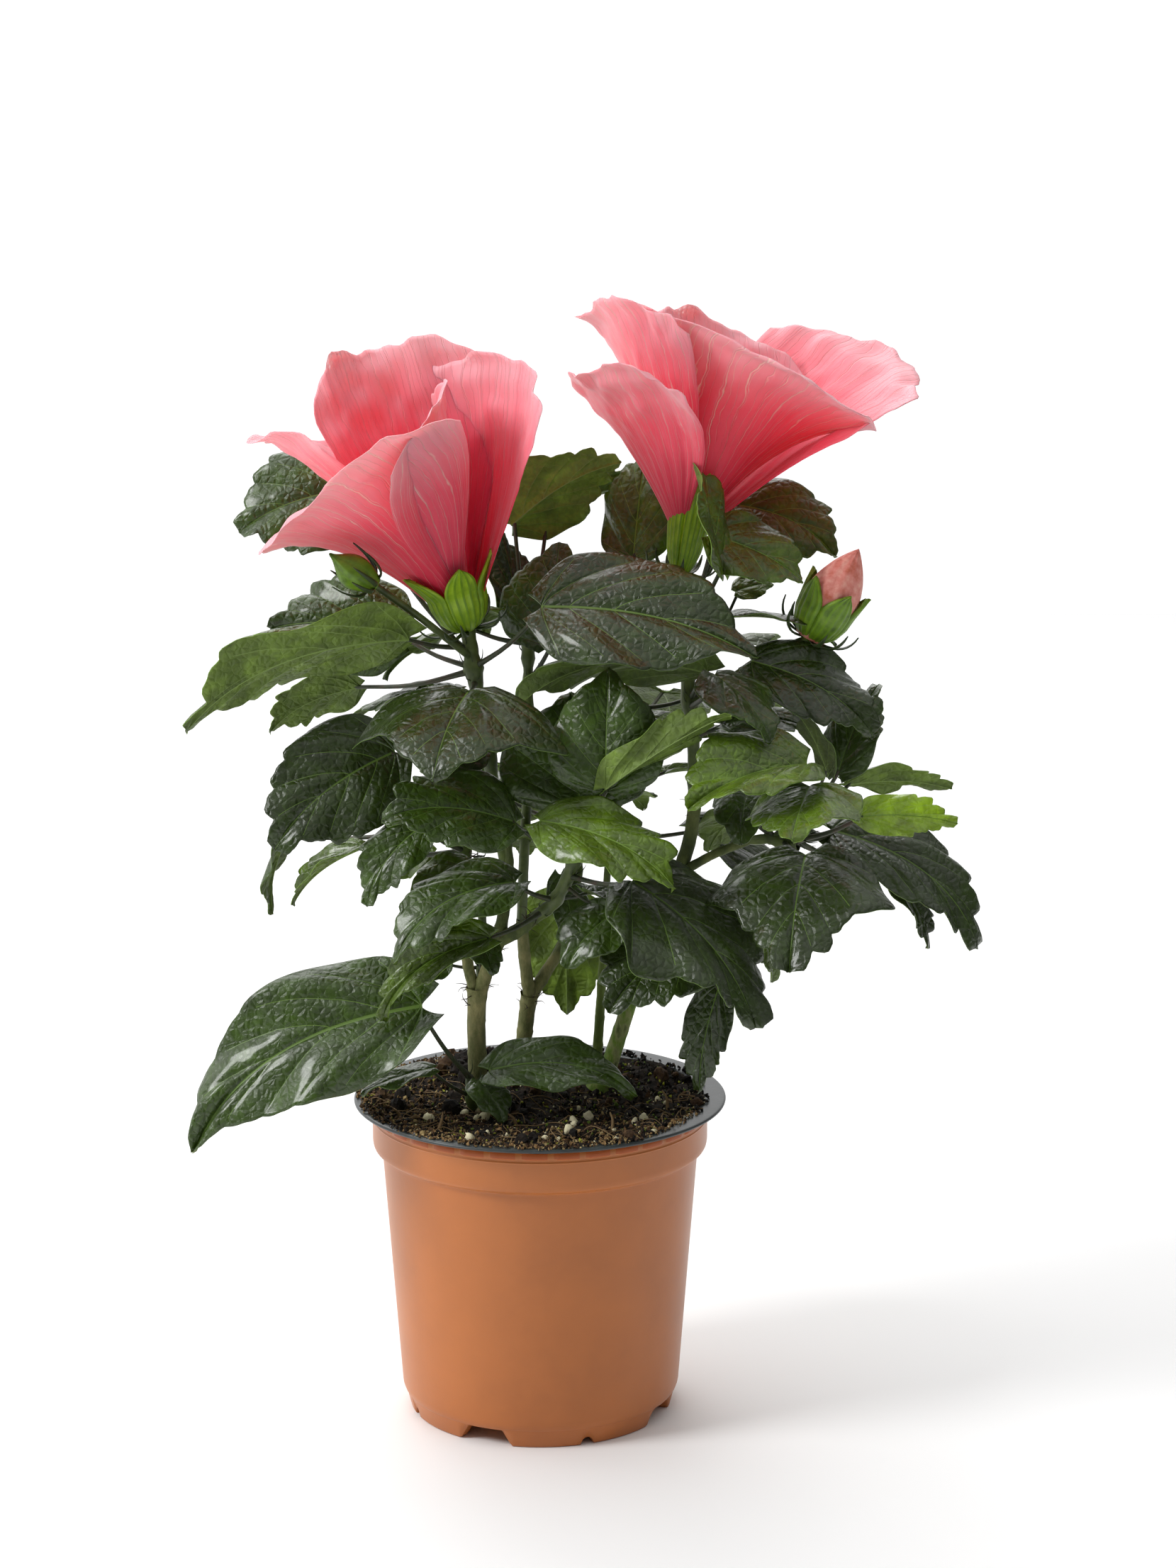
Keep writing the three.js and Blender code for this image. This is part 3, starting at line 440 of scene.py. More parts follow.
def petal_finish(name, throat, body, rim, vein, vein_strength):
    """Hibiscus petal: satin skin, deep at the throat and paler to the rim, with pale branching veins. The
    paler rim and the bright pink of the body are partly the petal's own colour and partly painted glow of
    light shining through the thin petal.
    """
    satin = dict(Sheen_Weight=0.25, Sheen_Roughness=0.4, Subsurface_Weight=0.4, Subsurface_Scale=0.003)
    material, tree, surface = new_material(name, 0.5, DAMP_IOR, **satin)
    surface.inputs["Subsurface Radius"].default_value = (1.0, 0.35, 0.3)
    chart = (add_node(tree, "ShaderNodeUVMap", {"uv_map": "petal"}), "UV")
    parts = add_node(tree, "ShaderNodeSeparateXYZ", Vector=chart)
    aside, along = (parts, "X"), (parts, "Y")
    # The deep throat runs out unevenly along the petal, in streaks.
    streak = noise_on(tree, chart, (26, 1.6, 1), Detail=3.0)
    run = new_maths(tree, "ADD", along, new_maths(tree, "MULTIPLY_ADD", streak, 0.22, -0.11))
    # Towards the rim the colour pales, partly the petal's own colour and partly painted glow of light through
    # its thin edge.
    stops = [(0.1, throat), (0.36, mixed(throat, body, 0.6)), (0.6, body), (1.0, rim)]
    colour = ramp(tree, stops, Fac=run)
    # Veins fan out from the foot and waver, and finer ones fork between them towards the rim.
    stray = noise_on(tree, chart, (4.5, 1.7, 1), Detail=4.0, Roughness=0.6)
    bent = new_maths(tree, "MULTIPLY_ADD", stray, 0.11, aside)
    lines = []
    for count, width in PETAL_VEINS:
        near = new_maths(tree, "PINGPONG", new_maths(tree, "MULTIPLY", bent, count), 0.5)
        lines.append(ranged(tree, near, 0.0, width, 1.0, 0.0))
    forked = new_maths(tree, "MULTIPLY", lines[1], ranged(tree, along, 0.25, 0.55, 0.0, 0.7))
    veins = new_maths(tree, "MAXIMUM", lines[0], forked)
    seen = new_maths(tree, "MULTIPLY", veins, ranged(tree, streak, 0.35, 0.65, 0.25, 1.0))
    level = new_maths(tree, "MULTIPLY", seen, vein_strength)
    colours = dict(_6=(colour, "Color"), _7=linear(vein))
    blend = add_node(tree, "ShaderNodeMix", {"data_type": "RGBA"}, _0=level, **colours)
    tree.links.new(blend.outputs[2], surface.inputs["Base Color"])
    set_relief(tree, surface, new_maths(tree, "MULTIPLY_ADD", veins, 0.8, streak), 0.3, 0.7)
    return material


def plastic_finish(name, roughness, colour, shades, swell, relief_size, relief_depth):
    """Injection-moulded polypropylene: satin, with a soft waxy bloom and hardly any grain."""
    material, tree, surface = new_material(name, roughness, PLASTIC_IOR)
    varied(tree, surface, [shaded(colour, shades[0]), colour, shaded(colour, shades[1])], swell)
    set_relief(tree, surface, grain(tree, relief_size, 3.0), relief_depth, 0.6)
    return material


def pot_finishes(terracotta, layer):
    """The pot's shell, the recycled black layer that shows at its lip, and its thin raised plates, whose
    deeper orange is painted glow of light through the thin plastic.
    """
    return [
        plastic_finish("moulded terracotta polypropylene", 0.36, terracotta, (0.96, 1.03), 28.0, 1.6, 0.03),
        plastic_finish("moulded black polypropylene", 0.33, layer, (0.85, 1.2), 9.0, 1.1, 0.05),
        # The plates' deeper orange is painted glow of light through the thin plastic.
        matt_material("thin terracotta plate", mixed(terracotta, "#a03408", 0.35), 0.4, 1.6, 0.03),
    ]


def soil_finish(name, colours):
    """Damp peat: very rough, nearly black where it is wet and brown where it has dried."""
    material, tree, surface = new_material(name, 0.92, DAMP_IOR)
    varied(tree, surface, colours, 2.2)
    set_relief(tree, surface, grain(tree, 0.7, 4.0, 0.7), 0.5)
    return material


# ---------------------------------------------------------------- the plant, in millimetres

LEAF_HABIT = dict(roll=0, wide=0.8, fold=14, curl=0.35, lobes=0, teeth=1, tone="dark")


def leaf(at, turn, rise, stalk, blade, point, aim, droop, **habit):
    """A leaf: where its stalk starts and how it runs, its length, its own direction, slope and droop."""
    run = dict(at=at, turn=turn, rise=rise, stalk=stalk, blade=blade, point=point, aim=aim, droop=droop)
    return {**LEAF_HABIT, **run, **habit}


def twig(at, foot, tip, *course):
    """A twig: the share of its mass's stem where it leaves, its radius at foot and tip, and its course."""
    return dict(at=at, radius=dict(foot=foot, tip=tip), course=list(course))


def petal(turn, aim, droop, blade, wide, skew=0, fold=0):
    """A petal: where it stands and points, its droop, length and width, and how askew and folded it is."""
    return dict(turn=turn, aim=aim, droop=droop, blade=blade, wide=wide, skew=skew, fold=fold)


LIMBS = [
    dict(
        name="stem_front",
        bark="old",
        slot="old_bark",
        course=[[-19.6, -8, 103.6], [-19.9, -8.6, 117], [-20.2, -9.2, 130], [-19.7, -9.8, 142.6]],
        radius=dict(foot=3.0, tip=2.9, flare=0.6, knuckle=0.8),
    ),
    dict(
        name="bough_front_left",
        bark="old",
        slot="green_bark",
        course=[[-20.2, -9.8, 140], [-22.8, -11.8, 152], [-23.1, -13.6, 169], [-23, -14, 185.8]],
        radius=dict(foot=1.9, tip=1.6, knuckle=0.3),
    ),
    dict(
        name="bough_front_right",
        bark="old",
        slot="green_bark",
        course=[[-19, -10.4, 141], [-16.4, -13, 149.4], [-12.8, -17.4, 160]],
        radius=dict(foot=2.2, tip=2.1, knuckle=0.5),
    ),
    dict(
        name="bough_centre_left",
        bark="green",
        slot="green_bark",
        course=[[-13, -17.2, 158.6], [-10.9, -17, 170], [-9.3, -15.4, 180.8], [-9.8, -15, 193.4]],
        radius=dict(foot=2.1, tip=1.2),
    ),
    dict(
        name="bough_centre_right",
        bark="green",
        slot="green_bark",
        course=[[-12.6, -17.8, 159.8], [-6.4, -20.6, 164], [-1.6, -21.8, 168]],
        radius=dict(foot=2.3, tip=2.1),
    ),
    dict(
        name="stem_middle",
        bark="old",
        slot="old_bark",
        course=[[-5.6, 15, 103.6], [-5.6, 15, 115], [-4.7, 14, 125], [-3.4, 12.4, 134.4]],
        radius=dict(foot=2.7, tip=2.5, flare=0.7, knuckle=0.7),
    ),
    dict(
        name="bough_middle_left",
        bark="old",
        slot="green_bark",
        course=[[-3.4, 12.2, 133], [-4.9, 9.6, 146], [-5.8, 6, 161]],
        radius=dict(foot=2.1, tip=1.8),
    ),
    dict(
        name="bough_middle_right",
        bark="old",
        slot="green_bark",
        course=[[-2.6, 12.4, 134], [2, 13.2, 141.6], [6.6, 14.4, 149], [9.9, 16, 157.6]],
        radius=dict(foot=2.1, tip=1.7),
    ),
    dict(
        name="stem_thin",
        bark="thin",
        slot="old_bark",
        course=[[18.2, 23.2, 103.6], [19, 22.4, 118], [20.2, 20.4, 140], [21.4, 20, 167]],
        radius=dict(foot=1.7, tip=1.3, flare=0.4),
    ),
    dict(
        name="stem_right",
        bark="right",
        slot="old_bark",
        course=[[18.8, 6, 103.6], [23.4, 6, 115.3], [31, 2.4, 141], [38.3, 0.4, 164], [44.6, -0.6, 178.8]],
        radius=dict(foot=2.6, tip=2.1, flare=1.6, knuckle=0.4),
    ),
    dict(
        name="bough_right_up",
        bark="green",
        slot="green_bark",
        course=[[44.4, -0.4, 177.4], [47.8, 0, 188], [49.3, 0, 199]],
        radius=dict(foot=2.2, tip=2.1),
    ),
    dict(
        name="bough_right_out",
        bark="green",
        slot="green_bark",
        course=[[44.8, -0.8, 177.6], [55, -5, 184.6], [66.5, -8, 190]],
        radius=dict(foot=1.5, tip=1.3),
    ),
]

MASSES = [
    dict(
        name="foliage_foot",
        stem=[[-21.2, -15, 103.6], [-21.8, -15.4, 109], [-22, -15, 114]],
        radius=dict(foot=1.4, tip=1.1),
        leaves=[
            leaf(1, 230, 52, 36, 90, 186, -8, 62, roll=-52, wide=0.5, curl=0.4, teeth=0.3, tone="deep"),
            leaf(0.7, 303, 36, 14, 50, 352, 16, 62, roll=34, wide=0.44, teeth=0.2, tone="deep"),
            leaf(0.3, 290, 50, 11, 18, 305, -20, 45, wide=0.8, tone="deep"),
            leaf(0.4, 212, 40, 18, 25, 196, -8, 20, roll=-12, wide=0.46, tone="deep"),
        ],
    ),
    dict(
        name="foliage_front",
        stem=[[-18.8, -8.4, 142], [-17.9, -6, 153], [-18.4, -5, 169], [-19.1, -4, 184]],
        radius=dict(foot=1.5, tip=1.2),
        leaves=[
            leaf(0.2, 187, 10, 11, 14, 212, -10, 40, roll=-30, wide=0.7, tone="deep"),
            leaf(0.16, 264, 44, 22, 16, 300, -20, 50, wide=0.8, tone="deep"),
            leaf(0.38, 178, 4, 13, 10, 223, -10, 40, roll=-50, wide=0.9, tone="mid"),
            leaf(0.98, 267, 4, 20, 22, 200, -4, 45, roll=-40, wide=0.8, tone="mid"),
            leaf(0.95, 140, 0, 20, 20, 160, -20, 45, roll=-30, wide=0.7, tone="mid"),
        ],
    ),
    dict(
        name="foliage_left_low",
        stem=[[-23, -14, 185.8], [-24.4, -11.4, 196], [-26, -8, 207]],
        radius=dict(foot=1.5, tip=1),
        leaves=[
            leaf(0.1, 157, -3, 36, 32, 170, -24, 42, roll=-20, wide=0.4, fold=40, tone="mid"),
            leaf(0.6, 156, -10, 63, 29, 160, -62, 40, roll=-10, wide=0.66, tone="deep"),
            leaf(0.1, 228, 34, 21, 33, 207, -30, 52, roll=-40, wide=0.56, tone="deep"),
        ],
    ),
    dict(
        name="foliage_left",
        stem=[[-9.6, -14.8, 179], [-12.8, -13.2, 197], [-15.7, -12, 220], [-19.3, -10, 239]]
        + [[-22, -8, 257.2]],
        radius=dict(foot=1.8, tip=2.1),
        leaves=[
            leaf(0.46, 186, 7, 30, 51, 207, -18, 40, roll=-62, wide=0.76, tone="dark"),
            leaf(0.5, 262, 10, 6, 18, 206, -8, 40, roll=-50, wide=0.7),
            leaf(0.78, 266, 2, 19, 42, 253, -14, 45, wide=1.5, lobes=0.7, teeth=0.6, tone="dark"),
            leaf(0.83, 159, -11, 40, 34, 176, -12, 40, roll=50, wide=0.6, tone="mid"),
            leaf(0.84, 150, 17, 27, 46, 164, 12, 30, roll=-62, wide=0.75, tone="deep"),
            leaf(0.93, 210, 12, 22, 78, 188, -2, 50, roll=40, wide=0.5, tone="mid"),
            leaf(0.84, 313, 36, 39, 70, 347, 2, 34, roll=46, wide=0.62, teeth=0.4),
            leaf(0.87, 145, 47, 69, 40, 177, -8, 34, roll=-62, wide=0.95, tone="deep"),
        ],
        spiral=dict(seed=37, count=3, start=0.35, facing=90, spread=50, stalk=(10, 16), blade=(26, 34)),
        twigs=[twig(0.88, 1.2, 1.1, [-26, -15, 254], [-37, -21, 264], [-50, -27, 274.6])],
    ),
    dict(
        name="foliage_centre",
        stem=[[-1.6, -21.8, 168], [4.7, -23, 173.6], [9.4, -24.2, 182.4], [12.6, -25.4, 193]]
        + [[13.8, -25.4, 205]],
        radius=dict(foot=2, tip=1.2),
        leaves=[
            leaf(0.14, 218, -15, 22, 45, 190, -12, 62, roll=-44, wide=0.42, fold=36, tone="mid"),
            leaf(0.27, 217, 28, 17, 50, 205, 0, 72, roll=-24, wide=0.54, tone="deep"),
            leaf(0.5, 319, 5, 26, 62, 330, -24, 50, roll=12, wide=0.85, lobes=0.7),
            leaf(0.42, 330, -18, 20, 25, 210, -24, 46, roll=-30, wide=0.86, tone="deep"),
            leaf(0.62, 209, 35, 25, 44, 195, 22, 45, roll=-46, wide=0.66, tone="deep"),
            leaf(0.6, 300, 78, 19, 38, 100, 74, 26, wide=1.3, teeth=0.5, tone="deep"),
            leaf(0.86, 295, 40, 23, 39, 84, 82, 24, wide=0.95, teeth=0.3, tone="deep"),
            leaf(0.88, 240, 13, 26, 49, 340, -4, 46, roll=30, wide=0.6, tone="bright"),
            leaf(0.86, 293, 40, 25, 46, 352, 38, 14, roll=-60, wide=0.36, fold=34, tone="mid"),
        ],
        spiral=dict(seed=33, count=3, start=0.3, facing=80, spread=70, stalk=(8, 18), blade=(26, 36)),
    ),
    dict(
        name="foliage_right_up",
        stem=[[49.3, 0, 199], [48.9, 1, 218], [47.3, 3, 237], [45.6, 4, 256], [44.2, 4, 273]],
        radius=dict(foot=2, tip=1.9),
        leaves=[
            leaf(0.45, 290, 38, 19, 64, 192, 16, 60, roll=40, wide=0.5, teeth=0.6, tone="deep"),
            leaf(0.77, 138, 42, 28, 36, 60, 80, 10, roll=0, wide=0.75, tone="mid"),
            leaf(0.74, 296, 40, 34, 36, 145, 74, 6, roll=10, wide=0.7, fold=24, tone="mid"),
            leaf(0.72, 296, 63, 38, 33, 350, -14, 30, roll=40, wide=0.8, tone="mid"),
            leaf(0.82, 40, 56, 39, 38, 345, -6, 50, roll=50, wide=0.72, tone="mid"),
            leaf(0.46, 325, 31, 27, 46, 345, -12, 44, roll=34, wide=0.66),
            leaf(0.42, 283, 28, 33, 31, 315, -20, 45, wide=0.9, lobes=0.5, tone="deep"),
            leaf(0.5, 29, 60, 34, 13, 11, 20, 30, roll=40, wide=0.8, tone="bright"),
            leaf(0.3, 10, 20, 10, 28, 4, 12, 40, roll=20, wide=0.8, tone="deep"),
        ],
        spiral=dict(seed=31, count=5, start=0.12, facing=80, spread=90, stalk=(10, 20), blade=(28, 40)),
        twigs=[twig(0.45, 1.5, 1.7, [56, 0.6, 236.6], [67, -1.4, 245], [76, -2.8, 250], [84.6, -3.8, 253.6])],
    ),
    dict(
        name="foliage_right_out",
        stem=[[66.5, -8, 190], [72, -10.4, 191], [77, -12, 191], [81.6, -13.4, 191.4]],
        radius=dict(foot=1.3, tip=1.1),
        leaves=[
            leaf(0.7, 281, 48, 40, 46, 212, 2, 36, roll=-20, wide=0.9, fold=34, tone="bright"),
            leaf(0.6, 284, 38, 38, 36, 258, -6, 24, roll=6, wide=1.0, fold=8, tone="bright"),
            leaf(1, 327, 25, 24, 31, 352, 6, 22, roll=66, wide=0.44, tone="young"),
            leaf(0.95, 21, 45, 24, 35, 7, 6, 26, roll=-40, wide=0.5, tone="mid"),
            leaf(0.9, 0, 57, 25, 33, 42, 66, 26, roll=20, wide=0.6, tone="deep"),
            leaf(0.85, 332, 61, 26, 25, 199, 70, 24, roll=10, wide=0.6),
            leaf(0.65, 285, 1, 23, 47, 259, -20, 50, wide=1.1, lobes=0.8, tone="dark"),
            leaf(1, 58, -3, 22, 64, 352, -14, 62, roll=30, wide=0.5),
            leaf(0.9, 34, -21, 39, 31, 352, -44, 40, roll=20, wide=0.46),
            leaf(0.5, 180, 64, 20, 26, 261, -20, 46, roll=0, wide=0.8, tone="deep"),
        ],
        spiral=dict(seed=35, count=3, start=0.2, facing=100, spread=60, stalk=(8, 18), blade=(24, 34)),
    ),
    dict(
        name="foliage_middle",
        stem=[[-5.8, 6, 161], [-4.9, 6, 184], [-3.8, 8, 206], [-3.6, 10, 229], [-3.5, 10, 250]],
        radius=dict(foot=1.7, tip=1.5),
        leaves=[
            leaf(0.85, 307, 45, 19, 34, 80, 80, 24, wide=1.1, tone="deep"),
            leaf(0.94, 106, 43, 14, 31, 129, 76, 14, wide=0.6),
            leaf(0.95, 112, 70, 43, 43, 344, 42, 30, roll=-56, wide=0.7, lobes=0.5, tone="bright"),
            leaf(1, 76, 61, 43, 32, 0, 38, 24, roll=-50, wide=0.5, tone="mid"),
        ],
        spiral=dict(seed=8, count=3, start=0.5, facing=165, spread=25, stalk=(18, 30), blade=(36, 48)),
    ),
    dict(
        name="foliage_right_low",
        stem=[[38.6, 0, 164], [42.4, -11, 168], [46.4, -19, 170]],
        radius=dict(foot=1.3, tip=1),
        leaves=[
            leaf(0.9, 293, -14, 16, 42, 212, -14, 42, roll=-36, wide=0.78),
            leaf(0.7, 313, -48, 28, 35, 220, -66, 26, roll=-20, wide=0.48),
            leaf(0.3, 8, 5, 26, 28, 350, -60, 34, roll=20, wide=0.6, tone="mid"),
        ],
    ),
    dict(
        name="foliage_back_left",
        stem=[[9.9, 16, 157.6], [12, 22, 170], [12, 30, 184], [9, 37, 198], [6, 41, 211]],
        radius=dict(foot=1.5, tip=1),
        leaves=[
            leaf(0.3, 215, -2, 7, 26, 300, -56, 30, wide=0.56, tone="deep"),
            leaf(0.1, 100, -8, 20, 46, 85, -60, 36, wide=0.72, tone="bright"),
        ],
        spiral=dict(seed=5, count=5, start=0.4, facing=124, spread=46, stalk=(18, 30), blade=(36, 48)),
    ),
    dict(
        name="foliage_back_right",
        stem=[[21.4, 20, 167], [23, 24, 187], [26, 30, 206], [28, 36, 224]],
        radius=dict(foot=1.2, tip=0.9),
        leaves=[],
        spiral=dict(seed=21, count=6, start=0.3, facing=44, spread=54, stalk=(18, 30), blade=(36, 48)),
    ),
]

BLOOMS = [
    dict(
        name="bloom_left",
        base=[-22, -8, 257.2],
        lean=dict(turn=205, rise=72),
        calyx=dict(tube=13, sepal=11, radius=9.4),
        petals=[
            petal(236, 70, 44, 76, 1.15, skew=-0.35),
            petal(325, 80, 4, 75, 0.74, fold=-0.08),
            petal(40, 63, -20, 79, 1.1),
            petal(98, 78, 14, 88, 0.78, fold=0.05),
            petal(168, 70, 32, 84, 0.74),
        ],
    ),
    dict(
        name="bloom_right",
        base=[44.2, 4, 273],
        lean=dict(turn=10, rise=80),
        calyx=dict(tube=22, sepal=12, radius=6.6),
        petals=[
            petal(286, 80, 50, 72, 1.42, skew=1.15),
            petal(22, 54, 10, 86, 1.0),
            petal(104, 76, 12, 70, 1.0, fold=0.05),
            petal(188, 67, 14, 76, 0.9),
            petal(222, 58, 32, 66, 0.82, skew=0.2, fold=0.06),
        ],
    ),
]

BUDS = [
    dict(
        name="bud_left",
        base=[-50, -27, 274.6],
        lean=dict(turn=206, rise=36),
        long=18,
        wide=9.5,
        petals=False,
    ),
    dict(
        name="bud_right",
        base=[84.6, -3.8, 253.6],
        lean=dict(turn=350, rise=62),
        long=33,
        wide=17.5,
        petals=True,
    ),
]

# Where dry bristles stand round a fork: its place, the limb's direction, its radius and their count.
SHAGGY_PLACES = [
    ((-20.2, -9.6, 141), (0, 0, 1), 3.4, 20),
    ((-23, -14, 186), (0, 0.1, 1), 2.0, 16),
    ((-12.8, -17.4, 159.6), (0.6, -0.2, 0.8), 2.4, 10),
    ((-9.8, -15, 193), (0, 0, 1), 1.4, 6),
    ((-3.6, 12.4, 134), (0, 0, 1), 3.1, 12),
    ((44.4, -0.4, 178), (0.3, 0, 1), 2.4, 12),
    ((-1.6, -21.8, 168), (0.8, 0, 0.5), 2.1, 7),
    ((49.2, 0.2, 200), (0, 0, 1), 2.1, 6),
]


# ---------------------------------------------------------------- leaves

TONES = ["dark", "deep", "mid", "bright", "young"]
PALE_TONES = ("mid", "bright", "young")  # leaves whose veins stand out pale
# Each leaf has two materials of its tone, for its upper and its under side, and shares those of the veins.
VEIN, PALE_VEIN, UNDER_VEIN = (2 * len(TONES) + k for k in range(3))

# Where the side veins leave the midrib and where they reach the margin, as places along each from 0 to 1.
VEINS = [(0, 0), (0.002, 0.15), (0.006, 0.37), (0.13, 0.55), (0.33, 0.7), (0.56, 0.84), (0.985, 0.993)]
FEW_VEINS = [(0, 0), (0.003, 0.2), (0.09, 0.46), (0.4, 0.74), (0.98, 0.99)]
SMALL_LEAF = 27  # blades shorter than this have few veins
BETWEEN = [0.08, 0.2, 0.33, 0.45, 0.56, 0.68, 0.81, 0.93]  # rows between neighbouring veins
ACROSS = np.array([0, 0.08, 0.17, 0.27, 0.38, 0.49, 0.6, 0.71, 0.81, 0.9, 0.96, 1.0])
# Half the width of a side vein at the midrib and at the margin, and of the midrib, as shares of the blade.
VEIN_WIDTH, VEIN_END, MIDRIB_WIDTH = 0.0030, 0.0014, 0.0068
HEART = 0.07  # how far a blade's foot reaches back beside its stalk, as a share of the blade
TOOTH = 0.038  # how far the margin's teeth stand out, as a share of the blade
SPINE_STEPS = 80
BLADE_THICKNESS = 0.5
STALK_RADIUS = 0.75
STALK_SUNK = 1.4  # how far a stalk's end reaches into its blade
STALK_SIDES, TWIG_SIDES, BRISTLE_SIDES = 8, 14, 4
GOLDEN_SHARE = 0.618  # of the spread between one leaf of a spiral and the next


def leaf_outline(u, leaf):
    """Half of a leaf's outline: how far each point lies along the leaf and out from its middle."""
    along = u - HEART * (1 - u) ** 4 + 0.2 * u * (1 - u) ** 2
    belly = 2.37 * (u + 0.05) ** 0.5 * np.maximum(1 - u, 0) ** 0.95 * (1 - 0.25 * u**4)
    shoulder = 0.25 * np.exp(-(((u - 0.38) / 0.1) ** 2))
    waist = 0.3 * np.exp(-(((u - 0.66) / 0.15) ** 2))
    out = (leaf["wide"] / 2) * belly * (1 + leaf["lobes"] * (shoulder - waist))
    rounding = 0.45 + 0.55 * np.sin(math.pi / 2 * np.minimum(1, u / 0.13))
    drawn_out = 1 - 0.22 * step_up(u, 0.72, 0.9)
    return along, out * rounding * drawn_out


def leaf_rows(veins):
    """The rows of points that fan out along the side veins: start, end, place between veins, number, vein."""
    rows = []
    for i, ((m0, s0), (m1, s1)) in enumerate(zip(veins, veins[1:])):
        first = (VEIN_WIDTH, VEIN_END) if i else (0, 0)
        last = (VEIN_WIDTH, VEIN_END) if i < len(veins) - 2 else (0, 0)
        low = m0 + first[0], s0 + first[1]
        high = m1 - last[0] if m1 > 0.05 else m1, s1 - last[1]
        for place in [0.0] + BETWEEN + [1.0]:
            spot = mix(low[0], high[0], place), mix(low[1], high[1], place)
            rows.append((*spot, place, i, place == 1.0 and bool(last[0])))
    return [np.array(column) for column in zip(*rows)]


def scallops(between, number, seed):
    """How far the rounded teeth stand out at each row: one for each side vein, leaning forwards."""
    lean = np.sin(math.pi * np.clip(between, 0, 1) ** 1.6) ** 0.8
    small = 0.22 * np.sin(math.pi * ((between * 2) % 1.0)) ** 2
    return lean * (0.85 + 0.6 * lattice(seed, number, 3, 17)) + small


def leaf_spine(joint, leaf, places):
    """The midrib's point and the directions across and up from it at shares of the blade."""
    blade, point, aim, droop = (leaf[k] for k in ("blade", "point", "aim", "droop"))
    middles = (np.arange(SPINE_STEPS) + 0.5) / SPINE_STEPS
    onward = aimed(point, aim - droop * middles**1.5) * (blade / SPINE_STEPS)
    track = joint + np.concatenate([np.zeros((1, 3)), np.cumsum(onward, axis=0)])
    u = np.clip(places, 0, 1)
    along = aimed(point, aim - droop * u**1.5)
    angle, roll = math.radians(point), math.radians(leaf["roll"])
    level = np.array([-math.sin(angle), math.cos(angle), 0])
    across = level * math.cos(roll) + np.cross(along, level) * math.sin(roll)
    knots = np.linspace(0, 1, SPINE_STEPS + 1)
    at = np.stack([np.interp(u, knots, track[:, k]) for k in range(3)], -1)
    at = at + along * ((places - u) * blade)[..., None]
    return at, across, np.cross(along, across)


def add_blade(heap, joint, leaf, seed):
    """A leaf's blade: quilted between its veins, toothed at its margin, bent, folded and curled."""
    blade, fold = leaf["blade"], math.radians(leaf["fold"])
    start, end, between, number, is_vein = leaf_rows(FEW_VEINS if blade < SMALL_LEAF else VEINS)
    start, end, between, number = (a[:, None] for a in (start, end, between, number))
    least = MIDRIB_WIDTH * (1 - 0.75 * np.clip(start, 0, 1))
    # The quilting: domes between the side veins, broken into blocks by cross veins.
    ridge = np.sin(math.pi * np.clip(between, 0, 1)) ** 0.55 * np.sin(math.pi * ACROSS**0.8) ** 0.5
    halves = []
    for side in (-1, 1):
        along_rim, out_rim = leaf_outline(end, leaf)
        toothed = TOOTH * scallops(between, number, seed * 2 + side)
        toothed = leaf["teeth"] * toothed * step_up(end, 0.3, 0.6) * (1 - step_up(end, 0.93, 1))
        along_rim, out_rim = along_rim + 0.6 * toothed, out_rim + toothed
        ahead = start + (along_rim - start) * ACROSS**1.22
        aside = least + np.maximum(out_rim - least, 0.002) * ACROSS
        phase = lattice(seed, side, 5, 3) * 3
        flat = np.stack([ahead * blade, side * aside * blade, np.full_like(ahead, seed * 7.7)], -1)
        reach = aside * blade
        lift = reach * math.sin(fold) - leaf["curl"] * reach**2 / (blade * 0.5)
        blocks = 0.5 + 0.5 * np.abs(np.sin(math.pi * (3.1 * ACROSS + 0.5 * number + 0.6 * between)))
        lift = lift + ridge * blocks * blade * (0.0095 + 0.003 * leaf["lobes"])
        inner = np.sin(math.pi * np.clip(ACROSS, 0, 1) ** 0.8)
        lift = lift + lumps(flat, 3.4, 4) * 0.34 * inner
        lift = lift + lumps(flat, 0.2 * blade, 9) * 0.026 * blade * ACROSS
        wave = np.sin(2 * math.pi * 2.1 * end + phase * 2) * 0.03 + np.sin(11 * end + phase) * 0.014
        lift = lift + blade * wave * ACROSS**2
        halves.append((ahead, side * reach * math.cos(fold), lift, np.broadcast_to(ACROSS, ahead.shape)))
    left, right = halves
    centre = (start, np.zeros_like(start), np.zeros_like(start) - 0.12, np.zeros_like(start))
    a, b, lift, v = (np.concatenate([left[k][:, ::-1], centre[k], right[k]], 1) for k in range(4))
    at, across, up = leaf_spine(joint, leaf, a)
    thin = BLADE_THICKNESS * (1 - 0.55 * v**4)
    on_vein = (between == 0) | (between == 1)
    rib = np.where(v == 0, 0.55 * (1 - 0.7 * np.clip(start, 0, 1)), np.where(on_vein, 0.22 * (1 - v**2), 0))
    rib = rib * min(1.0, blade / 40)
    middle = at + across * b[..., None]
    top = middle + up * (lift + thin / 2)[..., None]
    bottom = middle + up * (lift - thin / 2 - rib)[..., None]
    rows, columns = a.shape
    column = np.tile(np.arange(columns - 1), rows - 1)
    row = np.repeat(np.arange(rows - 1), columns - 1)
    half = len(ACROSS)
    tone = 2 * TONES.index(leaf["tone"])
    side_vein = is_vein[row] & (np.abs(column - half + 0.5) < half - 2)
    vein_face = side_vein | (column == half - 1) | (column == half)
    rim_slot = PALE_VEIN if leaf["tone"] in PALE_TONES else VEIN
    over = np.where(vein_face, rim_slot, tone)
    under = np.where(vein_face, UNDER_VEIN, tone + 1)
    faces = plate_faces(rows, columns)
    slots = np.concatenate([over, under, np.full(len(faces[2]), rim_slot)])
    heap.add(np.concatenate([top.reshape(-1, 3), bottom.reshape(-1, 3)]), np.concatenate(faces), slots)


